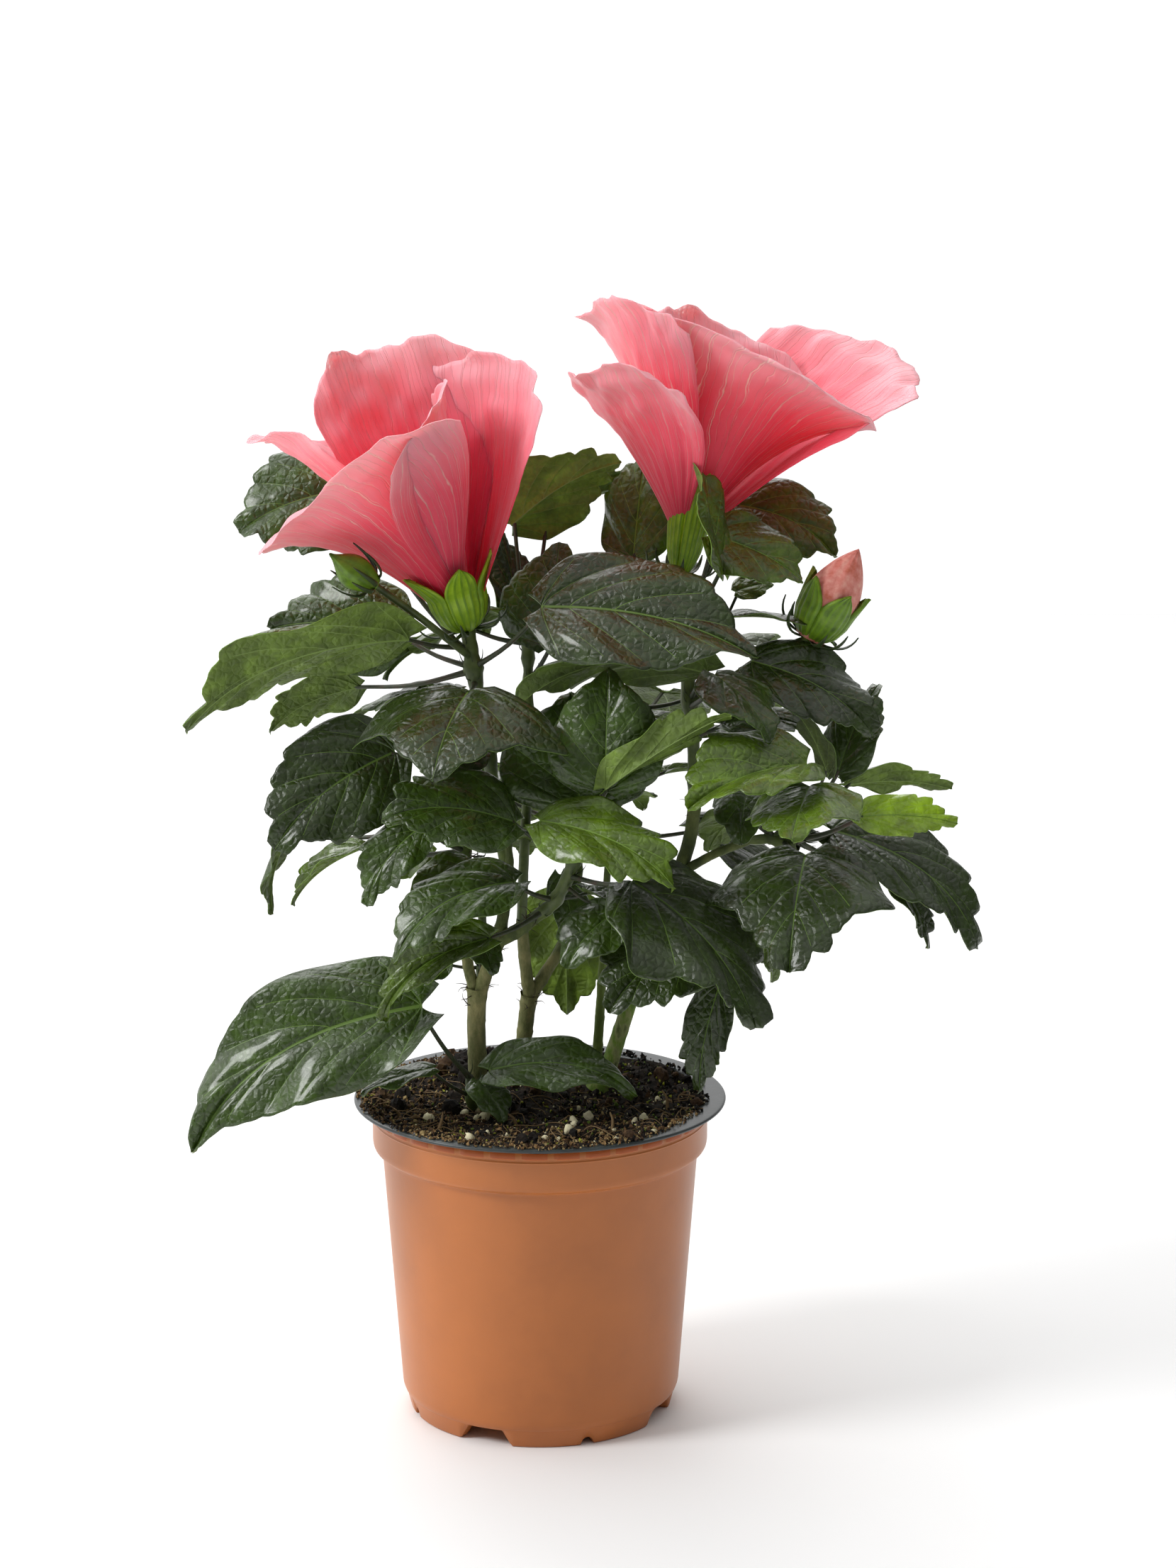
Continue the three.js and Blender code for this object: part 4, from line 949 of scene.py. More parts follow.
def add_stalk(heap, foot, joint, leaf):
    """A leaf's stalk: it sags a little, swells at both ends and ends inside the blade's midrib."""
    sag = np.linalg.norm(foot - joint) * 0.05
    end = joint + aimed(leaf["point"], leaf["aim"]) * STALK_SUNK
    middle = (foot + end) / 2 - np.array([0, 0, sag])
    t = np.linspace(0, 1, 9)
    swell = 0.35 * np.exp(-t * 12) + 0.22 * np.exp((t - 1) * 10)
    radii = STALK_RADIUS * mix(1.25, 0.75, t) * (1 + swell)
    if leaf["blade"] < SMALL_LEAF:
        radii = radii * 0.75
    heap.add(*tube(smooth_curve([foot, middle, end], t), radii, STALK_SIDES), WINE_STALK)


def spiral_leaves(spiral):
    """Leaves towards the back of a shoot, a golden share of the spread apart, as they spiral up."""
    roll = dice_from(spiral["seed"])
    leaves = []
    for i in range(spiral["count"]):
        share = (0.2 + i * GOLDEN_SHARE) % 1
        turn = spiral["facing"] + spiral["spread"] * (share * 2 - 1)
        rise, stalk, blade = roll(0, 35), roll(*spiral["stalk"]), roll(*spiral["blade"])
        point, aim, droop = turn + roll(-25, 25), roll(-25, 10), roll(35, 55)
        place = mix(spiral["start"], 1, i / (spiral["count"] - 1))
        shape = dict(roll=roll(-20, 20), wide=roll(0.62, 0.82), tone=TONES[i % 3])
        leaves.append(leaf(place, turn, rise, stalk, blade, point, aim, droop, **shape))
    return leaves


WINE_STALK, SHOOT, STIPULE = 0, 1, 2
STIPULE_LENGTH, STIPULE_RADIUS = 5.5, 0.32


def add_stipules(heap, foot, along, out):
    """The pair of thin bristles that stands beside a stalk's foot."""
    side = unit(np.cross(along, out))
    long = STIPULE_LENGTH
    for way in (-1, 1):
        tip = foot + side * way * long * 0.45 + along * long * 0.75 + out * long * 0.35
        knee = foot + side * way * long * 0.4 + along * long * 0.3 + out * long * 0.25
        t = np.linspace(0, 1, 5)
        radii = STIPULE_RADIUS * (1 - 0.8 * t)
        heap.add(*tube(smooth_curve([foot, knee, tip], t), radii, BRISTLE_SIDES), STIPULE)


def taper(t, radius):
    """The radius at shares t of a limb, with its root flare and the knuckle where it forks."""
    flare, knuckle = radius.get("flare", 0), radius.get("knuckle", 0)
    return mix(radius["foot"], radius["tip"], t) + flare * np.exp(-t * 9) + knuckle * np.exp((t - 1) * 12)


TWIG_STEP = 1.6  # millimetres between a twig's rings of points


def add_shoot(heap, course, radius, joints=()):
    """A green twig, a little swollen wherever a stalk leaves it."""
    length = run_of(course)
    t = np.linspace(0, 1, max(8, int(length / TWIG_STEP)))
    radii = taper(t, radius)
    for joint in joints:
        radii = radii + 0.45 * np.exp(-(((t - joint) * length / 2.2) ** 2))
    points = smooth_curve(course, t)
    ring = np.arange(TWIG_SIDES) / TWIG_SIDES * 6
    spots = np.stack(np.broadcast_arrays(ring[None, :], (t * length / 2.5)[:, None], points[0, 0]), -1)
    heap.add(*tube(points, radii[:, None] * (1 + 0.05 * lumps(spots, 1.0, 6)), TWIG_SIDES), SHOOT)


def grow_mass(mass, number, blade_materials, twig_materials):
    """One mass of foliage: its stem, twigs, stalks and leaves, as a piece of leaves and a piece of twigs."""
    blades, twigs = Heap(), Heap()
    leaves = mass["leaves"] + (spiral_leaves(mass["spiral"]) if "spiral" in mass else [])
    add_shoot(twigs, mass["stem"], mass["radius"], [a["at"] for a in leaves])
    for twig in mass.get("twigs", []):
        start = smooth_curve(mass["stem"], twig["at"])[0]
        add_shoot(twigs, [start.tolist()] + twig["course"], twig["radius"])
    for i, each in enumerate(leaves):
        foot = smooth_curve(mass["stem"], each["at"])[0]
        near = smooth_curve(mass["stem"], [max(0, each["at"] - 0.03), min(1, each["at"] + 0.03)])
        outward = aimed(each["turn"], each["rise"])
        joint = foot + outward * each["stalk"]
        add_stalk(twigs, foot, joint, each)
        add_stipules(twigs, foot + outward * 1.2, unit(near[1] - near[0]), outward)
        add_blade(blades, joint, each, number * 31 + i)
    title = mass["name"].replace("foliage", "leaves")
    make_piece(title, blades, blade_materials, "foliage", [mass["name"]])
    make_piece(title.replace("leaves", "twigs"), twigs, twig_materials, "foliage", [mass["name"]])


# ---------------------------------------------------------------- stems and boughs

BARK_SIDES = 44
BARK_STEP = 0.8  # millimetres between rings of points
SCAR_PITCH = 11


def grow_limb(limb, finish):
    """A stem or bough with its bark's relief, shaggy where it forks."""
    length = run_of(limb["course"])
    t = np.linspace(0, 1, int(length / BARK_STEP))
    points = smooth_curve(limb["course"], t)
    _, across, out = carried_frames(points)
    angle = round_angles(BARK_SIDES)
    plain = taper(t, limb["radius"])[:, None]
    way = across[:, None] * np.cos(angle)[:, None] + out[:, None] * np.sin(angle)[:, None]
    skin = points[:, None] + way * plain[..., None]
    rough = 0.35 + 0.65 * np.exp(-((1 - t) * length / 7) ** 2) * ("knuckle" in limb["radius"])
    relief = plain * 0.06 * lumps(skin * [1, 1, 0.3], 2.2, 2) + 0.1 * lumps(skin * [1, 1, 0.5], 0.9, 3)
    relief = relief + rough[:, None] * (0.45 * lumps(skin, 1.7, 5) + 0.16 * lumps(skin, 0.6, 8))
    # Ring scars where old stalks have fallen.
    off_scar = (t * length) % SCAR_PITCH - SCAR_PITCH / 2
    scars = np.exp(-((off_scar / 0.7) ** 2))[:, None] * 0.16 * (1 + lumps(skin, 3, 7))
    heap = Heap()
    heap.add(*tube(points, plain + relief * 0.55 + scars, BARK_SIDES))
    make_piece(limb["name"] + "_bark", heap, [finish], limb["slot"], [limb["name"]])


def add_bristles(heap, centre, axis, reach, count, seed):
    """Thin dry bristles that stand out round a fork."""
    roll = dice_from(seed)
    axis = unit(np.asarray(axis, float))
    for _ in range(count):
        way = unit(np.array([roll(-1, 1), roll(-1, 1), roll(-0.5, 0.9)]))
        foot = np.asarray(centre) + axis * roll(-4, 3) + unit(way - axis * way.dot(axis)) * reach * 0.8
        size = roll(2, 5)
        tip = foot + way * size
        knee = (foot + tip) / 2 + np.array([roll(-1, 1), roll(-1, 1), roll(0, 1.2)]) * size * 0.18
        t = np.linspace(0, 1, 5)
        heap.add(*tube(smooth_curve([foot, knee, tip], t), 0.2 * (1 - 0.75 * t), BRISTLE_SIDES))


# ---------------------------------------------------------------- pot


POT_SEGMENTS = 340
FOOT_RADIUS = 42.5
FEET = dict(count=4, first_gap=-114, notch_width=4, notch_height=2.6)
FEET.update(gap_width=15, gap_height=5.4, gap_slant=3.4)
LIP_TOP = 104.2
COLLAR_RADIUS = 54.1
PLATE_COUNT, PLATE_LOW, PLATE_HIGH, PLATE_RELIEF = 34, 99, 99.4, 0.45
PLATE_PITCH = 2 * math.pi * COLLAR_RADIUS / PLATE_COUNT
SHELL, DARK_LAYER, PLATES_PAINTED_GLOW = 0, 1, 2

# Profiles round the axis, as distance out and height: up the outside of the shell, then down its inside.
OUTSIDE = [[38, 6.4], [39.3, 6.4], [39.3, 0], [FOOT_RADIUS, 0], [44.1, 6.1], [44.5, 6.5], [45.1, 8]]
OUTSIDE += [[51, 86.2], [51.3, 87.2], [53.7, 88.3], [COLLAR_RADIUS, 90], [COLLAR_RADIUS, 97.7], [54.35, 98.0]]
OUTSIDE += [[COLLAR_RADIUS, height] for height in (98.4, PLATE_LOW, PLATE_HIGH, 102.9)]
INSIDE = [[52.8, 102.9], [52.6, 89.1], [49.7, 85.5], [43.8, 9.4], [42.4, 8], [38, 8]]
FLOOR = [[0.01, 6.4], [38.2, 6.4], [38.2, 8], [0.01, 8]]
FLANGE = [[52.3, 102.75], [59.3, 102.9], [60, 103.3], [60, 103.9], [59.5, LIP_TOP], [53, 104.15]]
FLANGE += [[52.45, 103.4]]


def foot_edge(angle):
    """How high the pot's lower edge lies at each direction: gaps between the feet, a notch in each."""

    def off_from(middle):
        return np.abs((angle - middle + math.pi) % (2 * math.pi) - math.pi) * FOOT_RADIUS

    edge = np.zeros_like(angle)
    for k in range(FEET["count"]):
        gap = math.radians(FEET["first_gap"] + k * 360 / FEET["count"])
        slope = (FEET["gap_width"] / 2 + FEET["gap_slant"] / 2 - off_from(gap)) / FEET["gap_slant"]
        edge = np.maximum(edge, np.clip(slope, 0, 1) * FEET["gap_height"])
        off = off_from(gap + math.pi / FEET["count"])
        half = FEET["notch_width"] / 2
        arch = FEET["notch_height"] - half + np.sqrt(np.maximum(half**2 - off**2, 0))
        edge = np.maximum(edge, np.where(off < half, arch, 0))
    return edge


def rounded(path, radius):
    """A profile whose corners are rounded off to a radius, where there is room."""
    path = [np.array(p, float) for p in path]
    out = [path[0]]
    for before, corner, after in zip(path, path[1:], path[2:]):
        back, on = before - corner, after - corner
        room = min(radius, np.linalg.norm(back) * 0.45, np.linalg.norm(on) * 0.45)
        a, b = corner + unit(back) * room, corner + unit(on) * room
        for s in (0.0, 0.5, 1.0):
            out.append(a * (1 - s) ** 2 + corner * 2 * s * (1 - s) + b * s**2)
    return out + [path[-1]]


def split(path, longest):
    """The profile with long straight stretches cut into shorter ones."""
    out = [path[0]]
    for a, b in zip(path, path[1:]):
        parts = max(1, math.ceil(np.linalg.norm(b - a) / longest))
        out += [mix(a, b, k / parts) for k in range(1, parts + 1)]
    return np.array(out)


def lathe(heap, profile, slot, shape=None):
    """Turns a closed profile round the pot's axis; shape moves the points of the grid."""
    angle = round_angles(POT_SEGMENTS)
    radius, height = (np.repeat(profile[:, k][:, None], POT_SEGMENTS, 1) for k in (0, 1))
    if shape:
        radius, height = shape(angle[None, :], radius, height)
    points = np.stack([radius * np.cos(angle), radius * np.sin(angle), height], -1).reshape(-1, 3)
    faces = grid_faces(len(profile), POT_SEGMENTS, wrap=True)
    last = (len(profile) - 1) * POT_SEGMENTS
    column = np.arange(POT_SEGMENTS)
    after = (column + 1) % POT_SEGMENTS
    closing = np.stack([last + column, last + after, after, column], 1)
    faces = np.concatenate([faces, closing])
    heap.add(points, faced_out(points, faces), slot)


def mould_pot(finishes):
    """The pot's terracotta shell with its collar, embossed ring and feet, and the dark layer of its lip."""

    def shape(angle, radius, height):
        on_foot = (height < 6.3) & (radius > 38.5)
        height = np.where(on_foot, np.maximum(height, foot_edge(angle)), height)
        # Raised plates in a ring under the lip.
        arc = (angle * COLLAR_RADIUS) % PLATE_PITCH
        plate = step_up(arc, 0.4, 0.9) * (1 - step_up(arc, PLATE_PITCH - 2.2, PLATE_PITCH - 1.7))
        band = step_up(height, PLATE_LOW, PLATE_HIGH) * (radius > COLLAR_RADIUS - 0.2)
        return radius + PLATE_RELIEF * plate * band, height

    heap = Heap()
    profile = split(rounded(OUTSIDE, 0.7) + [np.array(p, float) for p in INSIDE], 9)
    lathe(heap, profile, SHELL, shape)
    # The raised plates are thinner; their deeper orange is painted glow of light shining through the thin
    # plastic.
    middles = heap.points[-1][heap.faces[-1]].mean(1)
    away = np.hypot(middles[:, 0], middles[:, 1])
    raised = (away > COLLAR_RADIUS + 0.2) & (middles[:, 2] > PLATE_LOW + 0.1)
    heap.slots[-1] = np.where(raised, PLATES_PAINTED_GLOW, SHELL)
    lathe(heap, np.array(FLOOR), SHELL)
    lathe(heap, split(rounded(FLANGE + [FLANGE[0]], 0.25), 2.4)[:-1], DARK_LAYER)
    make_piece("nursery_pot", heap, finishes, "terracotta_plastic", ["pot"])


# ---------------------------------------------------------------- soil

SOIL_LEVEL = 103.3
SOIL_EDGE = 52.2  # where it meets the pot's wall
MOUND = dict(direction=128, away=30, height=5, spread=15)
SPILL_WAY = -125  # the direction to which it spills furthest over the lip
SOIL_RINGS, SOIL_SIDES = 76, 260
# Below its surface it fills the pot down to the floor: distance out and height.
SOIL_WALL = [(52.1, 102.6), (52.1, 89.4), (49.2, 85.5), (43.3, 10), (42, 8.4), (0.2, 8.4)]
WET, BROWN, DRY, STRAW = range(4)
LOOSE_LUMP = dict(x=-18.5, y=23.6, crumbs=26)
FIBRES, FIBRE_REACH = 280, 54
# Woody root ends that stand out of the soil: place, the way they lean and their length.
ROOT_ENDS = [(-32, -39, 60, 8), (23, -36, 100, 7), (41, -12, 120, 7), (-7, -30, 200, 6), (-44, -22, 170, 5)]


def soil_height(x, y):
    """The soil's level with its mound."""
    top = aimed(MOUND["direction"], 0) * MOUND["away"]
    away = np.hypot(x - top[0], y - top[1]) / MOUND["spread"]
    return SOIL_LEVEL + MOUND["height"] * np.exp(-away * away)


def soil_reach(angle):
    """How far out the soil spills over the lip: furthest at the front and the left."""
    facing = np.cos(angle - math.radians(SPILL_WAY))
    edge = np.stack([np.cos(angle) * 30, np.sin(angle) * 30, 0 * angle], -1)
    return SOIL_EDGE + 2.6 + 3.8 * step_up(facing, -0.3, 0.6) + 0.9 * lumps(edge, 5, 11)


def soil_surface(x, y):
    """The soil's height with its clods, from coarse to fine."""
    spot = np.stack(np.broadcast_arrays(x, y, 0.0), -1)
    coarse = lumps(spot, 9.0, 21) * 1.2 + lumps(spot, 4.2, 22) * 1.0
    fine = lumps(spot, 1.9, 23) * 0.5 + lumps(spot, 0.9, 24) * 0.22
    return soil_height(x, y) + coarse + fine


def tip_soil(finish):
    """Fills the pot with soil up to its cloddy surface."""
    heap = Heap()
    angle = round_angles(SOIL_SIDES)
    share = np.linspace(0.004, 1, SOIL_RINGS)[:, None]
    radius = share * soil_reach(angle)[None, :]
    x, y = radius * np.cos(angle), radius * np.sin(angle)
    over = step_up(radius, SOIL_EDGE - 1, SOIL_EDGE + 1)
    z = soil_surface(x, y)
    z = mix(z, np.maximum(z, LIP_TOP + 0.3), over) - 1.6 * step_up(share, 0.93, 1.0) ** 2
    walls = [np.stack([r * np.cos(angle), r * np.sin(angle), 0 * angle + h], -1) for r, h in SOIL_WALL]
    points = np.concatenate([np.stack([x, y, z], -1).reshape(-1, 3)] + walls)
    faces = grid_faces(SOIL_RINGS + len(SOIL_WALL), SOIL_SIDES, wrap=True)
    # A fan of quads from the first point closes the innermost ring.
    even = np.arange(0, SOIL_SIDES, 2)
    cap = np.stack([even, even + 1, (even + 2) % SOIL_SIDES, 0 * even], 1)[1:-1]
    heap.add(points, faced_out(points, np.concatenate([faces, cap])))
    make_piece("potting_soil", heap, [finish], "peat", ["soil"], smooth=False)


def ball(lumpy, seed, fine=False):
    """A small lumpy grain about a millimetre in radius, as (points, faces)."""
    rows, columns = (7, 9) if fine else (3, 6)
    lat = np.linspace(-math.pi / 2, math.pi / 2, rows)[:, None]
    lon = round_angles(columns)[None, :]
    shape = np.stack([np.cos(lat) * np.cos(lon), np.cos(lat) * np.sin(lon), np.sin(lat) + 0 * lon], -1)
    shape = shape * (1 + lumpy * lumps(shape + seed * 3.1, 0.8, 31)[..., None])
    return shape.reshape(-1, 3), grid_faces(rows, columns, wrap=True)


def turned(points, roll):
    """The points turned at random about three axes, one after the other."""
    a, b, c = (roll(0, 2 * math.pi) for _ in range(3))
    about_z = np.array([[math.cos(a), -math.sin(a), 0], [math.sin(a), math.cos(a), 0], [0, 0, 1]])
    about_y = np.array([[math.cos(b), 0, math.sin(b)], [0, 1, 0], [-math.sin(b), 0, math.cos(b)]])
    about_x = np.array([[1, 0, 0], [0, math.cos(c), -math.sin(c)], [0, math.sin(c), math.cos(c)]])
    return points @ (about_z @ about_y @ about_x).T


SHAPES = 17  # different shapes among the grains of a scatter


def thrown(seed, times):
    """Seeded dice that have been thrown a few times, so that near seeds no longer roll alike."""
    roll = dice_from(seed)
    for _ in range(times):
        roll(0, 1)
    return roll


def scatter(heap, count, size, seed, where, lumpy, flat, sunk=0.25, slots=(0,), fine=False):
    """Strews grains over the soil; where(roll) gives a place, and size and flat are spans."""
    roll = thrown(seed, 200)
    for i in range(count):
        x, y = where(roll)
        radius = size[0] * (size[1] / size[0]) ** roll(0, 1)
        points, faces = ball(lumpy, i % SHAPES + 0.37, fine)
        points = turned(points * [1, roll(*flat), roll(*flat)], roll) * radius
        z, away = soil_surface(x, y), math.hypot(x, y)
        if away > SOIL_EDGE - 0.5:
            z = max(z, LIP_TOP + 0.2) if away < soil_reach(np.array(math.atan2(y, x))) else LIP_TOP
        slot = slots[int(roll(0, len(slots) - 1e-6))]
        heap.add(points + [x, y, z + radius * (1 - 2 * sunk)], faces, slot)


def anywhere(low=0.0, high=1.0, facing=None, spread=180):
    """Places on the soil between two shares of its reach, about a direction if one is given."""

    def place(roll):
        turn = roll(-180, 180) if facing is None else facing + spread * roll(-1, 1)
        angle = math.radians(turn)
        away = math.sqrt(mix(low**2, high**2, roll(0, 1))) * float(soil_reach(np.array(angle)))
        return away * math.cos(angle), away * math.sin(angle)

    return place


def strew_soil(peats, perlite, moss, root):
    """Crumbs of peat, perlite, moss and root fibres on top of the soil."""
    crumbs = Heap()
    mostly_wet = (WET,) * 5 + (BROWN,)
    scatter(crumbs, 2600, (0.3, 1.1), 5, anywhere(), 0.9, (0.35, 1), 0.25, mostly_wet)
    # Drier crumbs lie towards the rim and on the lip.
    towards_rim, on_lip = anywhere(0.55, 1.0, SPILL_WAY, 85), anywhere(0.9, 1.01, SPILL_WAY, 105)
    scatter(crumbs, 2400, (0.25, 0.9), 6, towards_rim, 0.9, (0.3, 1), 0.2, (BROWN, BROWN, DRY, STRAW, WET))
    scatter(crumbs, 1100, (0.2, 0.7), 14, on_lip, 0.9, (0.3, 1), 0.2, (BROWN, DRY, DRY, STRAW))
    scatter(crumbs, 60, (1.3, 3.2), 7, anywhere(0, 0.95), 0.8, (0.5, 1), 0.35, (WET, WET, BROWN), fine=True)
    # The loose lump of peat at the back left.
    for k in range(LOOSE_LUMP["crumbs"]):
        roll = thrown(400 + k * 77, 5)
        points, faces = ball(0.8, k, fine=True)
        x, y = LOOSE_LUMP["x"] + roll(-9, 9), LOOSE_LUMP["y"] + roll(-8, 8)
        z = soil_height(x, y) + roll(-0.5, 1.8)
        crumbs.add(turned(points, roll) * roll(1.2, 3.0) + [x, y, z], faces, WET)
    make_piece("peat_crumbs", crumbs, peats, "peat", smooth=False)
    grains = Heap()
    scatter(grains, 26, (0.8, 2.0), 8, anywhere(0.2, 0.98, -80, 80), 0.55, (0.6, 1), 0.25, fine=True)
    scatter(grains, 420, (0.18, 0.5), 9, anywhere(0.1, 1.0), 0.3, (0.7, 1), 0.1)
    make_piece("perlite_grains", grains, [perlite], "peat")
    tufts = Heap()
    scatter(tufts, 520, (0.25, 0.8), 10, anywhere(0.1, 0.95, -60, 150), 0.8, (0.5, 1), 0.15, (0, 0, 1))
    make_piece("moss_tufts", tufts, moss, "peat")
    fibres = Heap()
    t = np.linspace(0, 1, 8)
    roll = dice_from(77)
    for _ in range(FIBRES):
        x, y = anywhere(0.15, 1.0, -120, 120)(roll)
        z = float(soil_surface(x, y))
        z = max(z, LIP_TOP) if math.hypot(x, y) > SOIL_EDGE else z
        long = roll(3, 13)
        way = np.array([roll(-1, 1), roll(-1, 1), 0])
        bow = np.array([roll(-1, 1), roll(-1, 1), roll(0.1, 0.7)]) * long * 0.3
        foot = np.array([x, y, z + 0.2])
        far = foot - way * long
        if math.hypot(far[0], far[1]) > FIBRE_REACH:
            far = foot - foot * [0.2, 0.2, 0] + way
        far[2] = float(soil_surface(far[0], far[1])) + roll(0, 0.8)
        path = smooth_curve([foot, (foot + far) / 2 + bow, far], t)
        fibres.add(*tube(path, np.full(len(t), roll(0.08, 0.21)), BRISTLE_SIDES))
    for x, y, lean, long in ROOT_ENDS:
        foot = np.array([x, y, float(soil_surface(x, y)) - 0.5])
        tip = foot + aimed(lean, 60) * long
        bent = smooth_curve([foot, (foot + tip) / 2 + [0.6, 0, 0.8], tip], t)
        fibres.add(*tube(bent, 0.7 - 0.45 * t, 6))
    make_piece("root_fibres", fibres, [root], "peat")


# ---------------------------------------------------------------- blooms and buds

PETAL = dict(claw=3.4, tuck=1.5, contort=0.15, widest=0.76, most_round=75, flatten=0.34, thickness=0.5)
PETAL_ROWS, PETAL_COLUMNS = 56, 46
PETAL_INSIDE, PETAL_OUTSIDE = 0, 1
PETAL_MAPS = ("OFBake", "petal")
# Each side of a petal has a square cell of the first map, with a margin round what fills it.
MAP_CELLS, MAP_MARGIN, MAP_FILL = 4, 0.008, 0.234
CALYX_SKIN, BRACT, CALYX_RIB = 0, 1, 2
SEPALS = 5
SEPAL_HALF = 180 / SEPALS
RIB_WAVES = 2.5  # ribs from a sepal's middle to its edge
BRACT_THICKNESS = 0.36
COLUMN_TUBE, POLLEN, STIGMA = 0, 1, 2
STAMENS, STAMEN_TURN = 64, 137.5
COLUMN_SHARE = 0.62  # the column's length to a petal's
BUD_LEVELS, BUD_SIDES = 36, 50


def flower_frame(base, lean):
    """Places in a flower's own terms: direction round its axis, distance out from it and height up it."""
    axis = aimed(lean["turn"], lean["rise"])
    right = unit(np.array([1.0, 0, 0]) - axis * axis[0])
    back = np.cross(axis, right)

    def place(turn, out, up):
        turn, out, up = np.broadcast_arrays(np.radians(turn), out, up)
        spread = right * np.cos(turn)[..., None] + back * np.sin(turn)[..., None]
        return np.asarray(base, float) + axis * up[..., None] + spread * out[..., None]

    return place


def plate(heap, over, under, slots, cell=None, chart=None):
    """A thin closed plate between two grids of points; cell and chart give its places on the maps."""
    faces = plate_faces(*over.shape[:2])
    slot = np.repeat([slots[0], slots[1], slots[0]], [len(part) for part in faces])
    maps = None
    if cell is not None:
        flat = np.stack(chart, -1).reshape(-1, 2)
        places = []
        for index in (cell * 2, cell * 2 + 1):
            corner = np.array([index % MAP_CELLS, index // MAP_CELLS]) / MAP_CELLS + MAP_MARGIN
            places.append(np.concatenate([corner + flat * MAP_FILL, flat], 1))
        count = len(flat)
        maps = [places[k][part % count] for k, part in zip((0, 1, 0), faces)]
        maps = np.concatenate(maps)
    heap.add(np.concatenate([over.reshape(-1, 3), under.reshape(-1, 3)]), np.concatenate(faces), slot, maps)


def add_petal(heap, place, start, petal, cell):
    """A petal that wraps round the flower's foot, flattens as it opens and bends back to a ruffled rim."""
    turn, aim, droop, blade, wide, skew, fold = petal.values()
    u = np.linspace(0, 1, PETAL_ROWS)[:, None]
    v = np.linspace(-1, 1, PETAL_COLUMNS)[None, :]
    seed = turn * 0.37
    # The rim is scalloped, and its corners are round.
    scallop = 0.016 * np.sin(6.3 * v + seed) + 0.010 * np.sin(14 * v + 2.3 * seed)
    rim = 1 + (scallop + 0.005 * np.sin(31 * v + seed)) - 0.17 * np.abs(v) ** 2.8
    share = u * mix(1, rim, u**3)
    # Each line from foot to rim bends by its own amount, so one side of the petal can hang lower.
    onward = np.radians(aim - 18 * skew * v - droop * (1 + skew * v) * share**2)
    step, bend = np.diff(share, axis=0) * blade, (onward[1:] + onward[:-1]) / 2
    foot = np.zeros((1, PETAL_COLUMNS))
    middle = PETAL["claw"] + np.concatenate([foot, np.cumsum(np.cos(bend) * step, axis=0)])
    height = start + np.concatenate([foot, np.cumsum(np.sin(bend) * step, axis=0)])
    swell = 0.1 + 0.9 * np.sin(math.pi / 2 * np.minimum(1, share / PETAL["widest"])) ** 1.3
    hollow = middle + PETAL["flatten"] * blade * share**1.5
    most = math.radians(PETAL["most_round"])
    wrap = most * np.tanh(v * (wide / 2) * blade * swell / hollow / most)
    # Ruffles that grow towards the rim, pleats along the veins, and a fine crinkle.
    spot = np.stack(np.broadcast_arrays(v * 20, share * 40, seed * 9), -1)
    edge = np.maximum(share, np.abs(v) ** 3 * share) ** 3
    ruffle = (lumps(spot, 8.5, 41) * 0.044 + lumps(spot, 3.2, 42) * 0.028) * blade * edge
    curl = -0.03 * blade * step_up(share, 0.86, 1.0) ** 2 * (1 + lumps(spot, 6, 43))
    turned_out = -abs(fold) * blade * step_up(np.sign(fold) * v, 0.5, 1.05) * step_up(share, 0.1, 0.6)
    pleat = 0.24 * np.sin(v * 26 + 3 * lumps(spot, 12, 44)) * (1 - share) * step_up(share, 0.05, 0.3)
    crinkle = 0.2 * lumps(spot, 1.4, 45) * step_up(share, 0.2, 0.7)
    off = ruffle + curl + turned_out + pleat + crinkle
    # Each petal lies over the next at one side and under its neighbour at the other, more so towards the rim.
    off = off + v * (PETAL["tuck"] + PETAL["contort"] * blade * share**1.5)
    thin = PETAL["thickness"] * (1 - 0.5 * np.maximum(share, v**2) ** 4)
    sides = []
    for k in (0.5, -0.5):
        lift = off + thin * k
        inward = -lift * np.sin(onward)
        out = middle - hollow * (1 - np.cos(wrap)) + inward * np.cos(wrap)
        aside = hollow * np.sin(wrap) + inward * np.sin(wrap)
        around = turn + np.degrees(np.arctan2(aside, out))
        sides.append(place(around, np.hypot(aside, out), height + lift * np.cos(onward)))
    chart = np.broadcast_arrays((v + 1) / 2, u)
    plate(heap, sides[0], sides[1], (PETAL_INSIDE, PETAL_OUTSIDE), cell, chart)


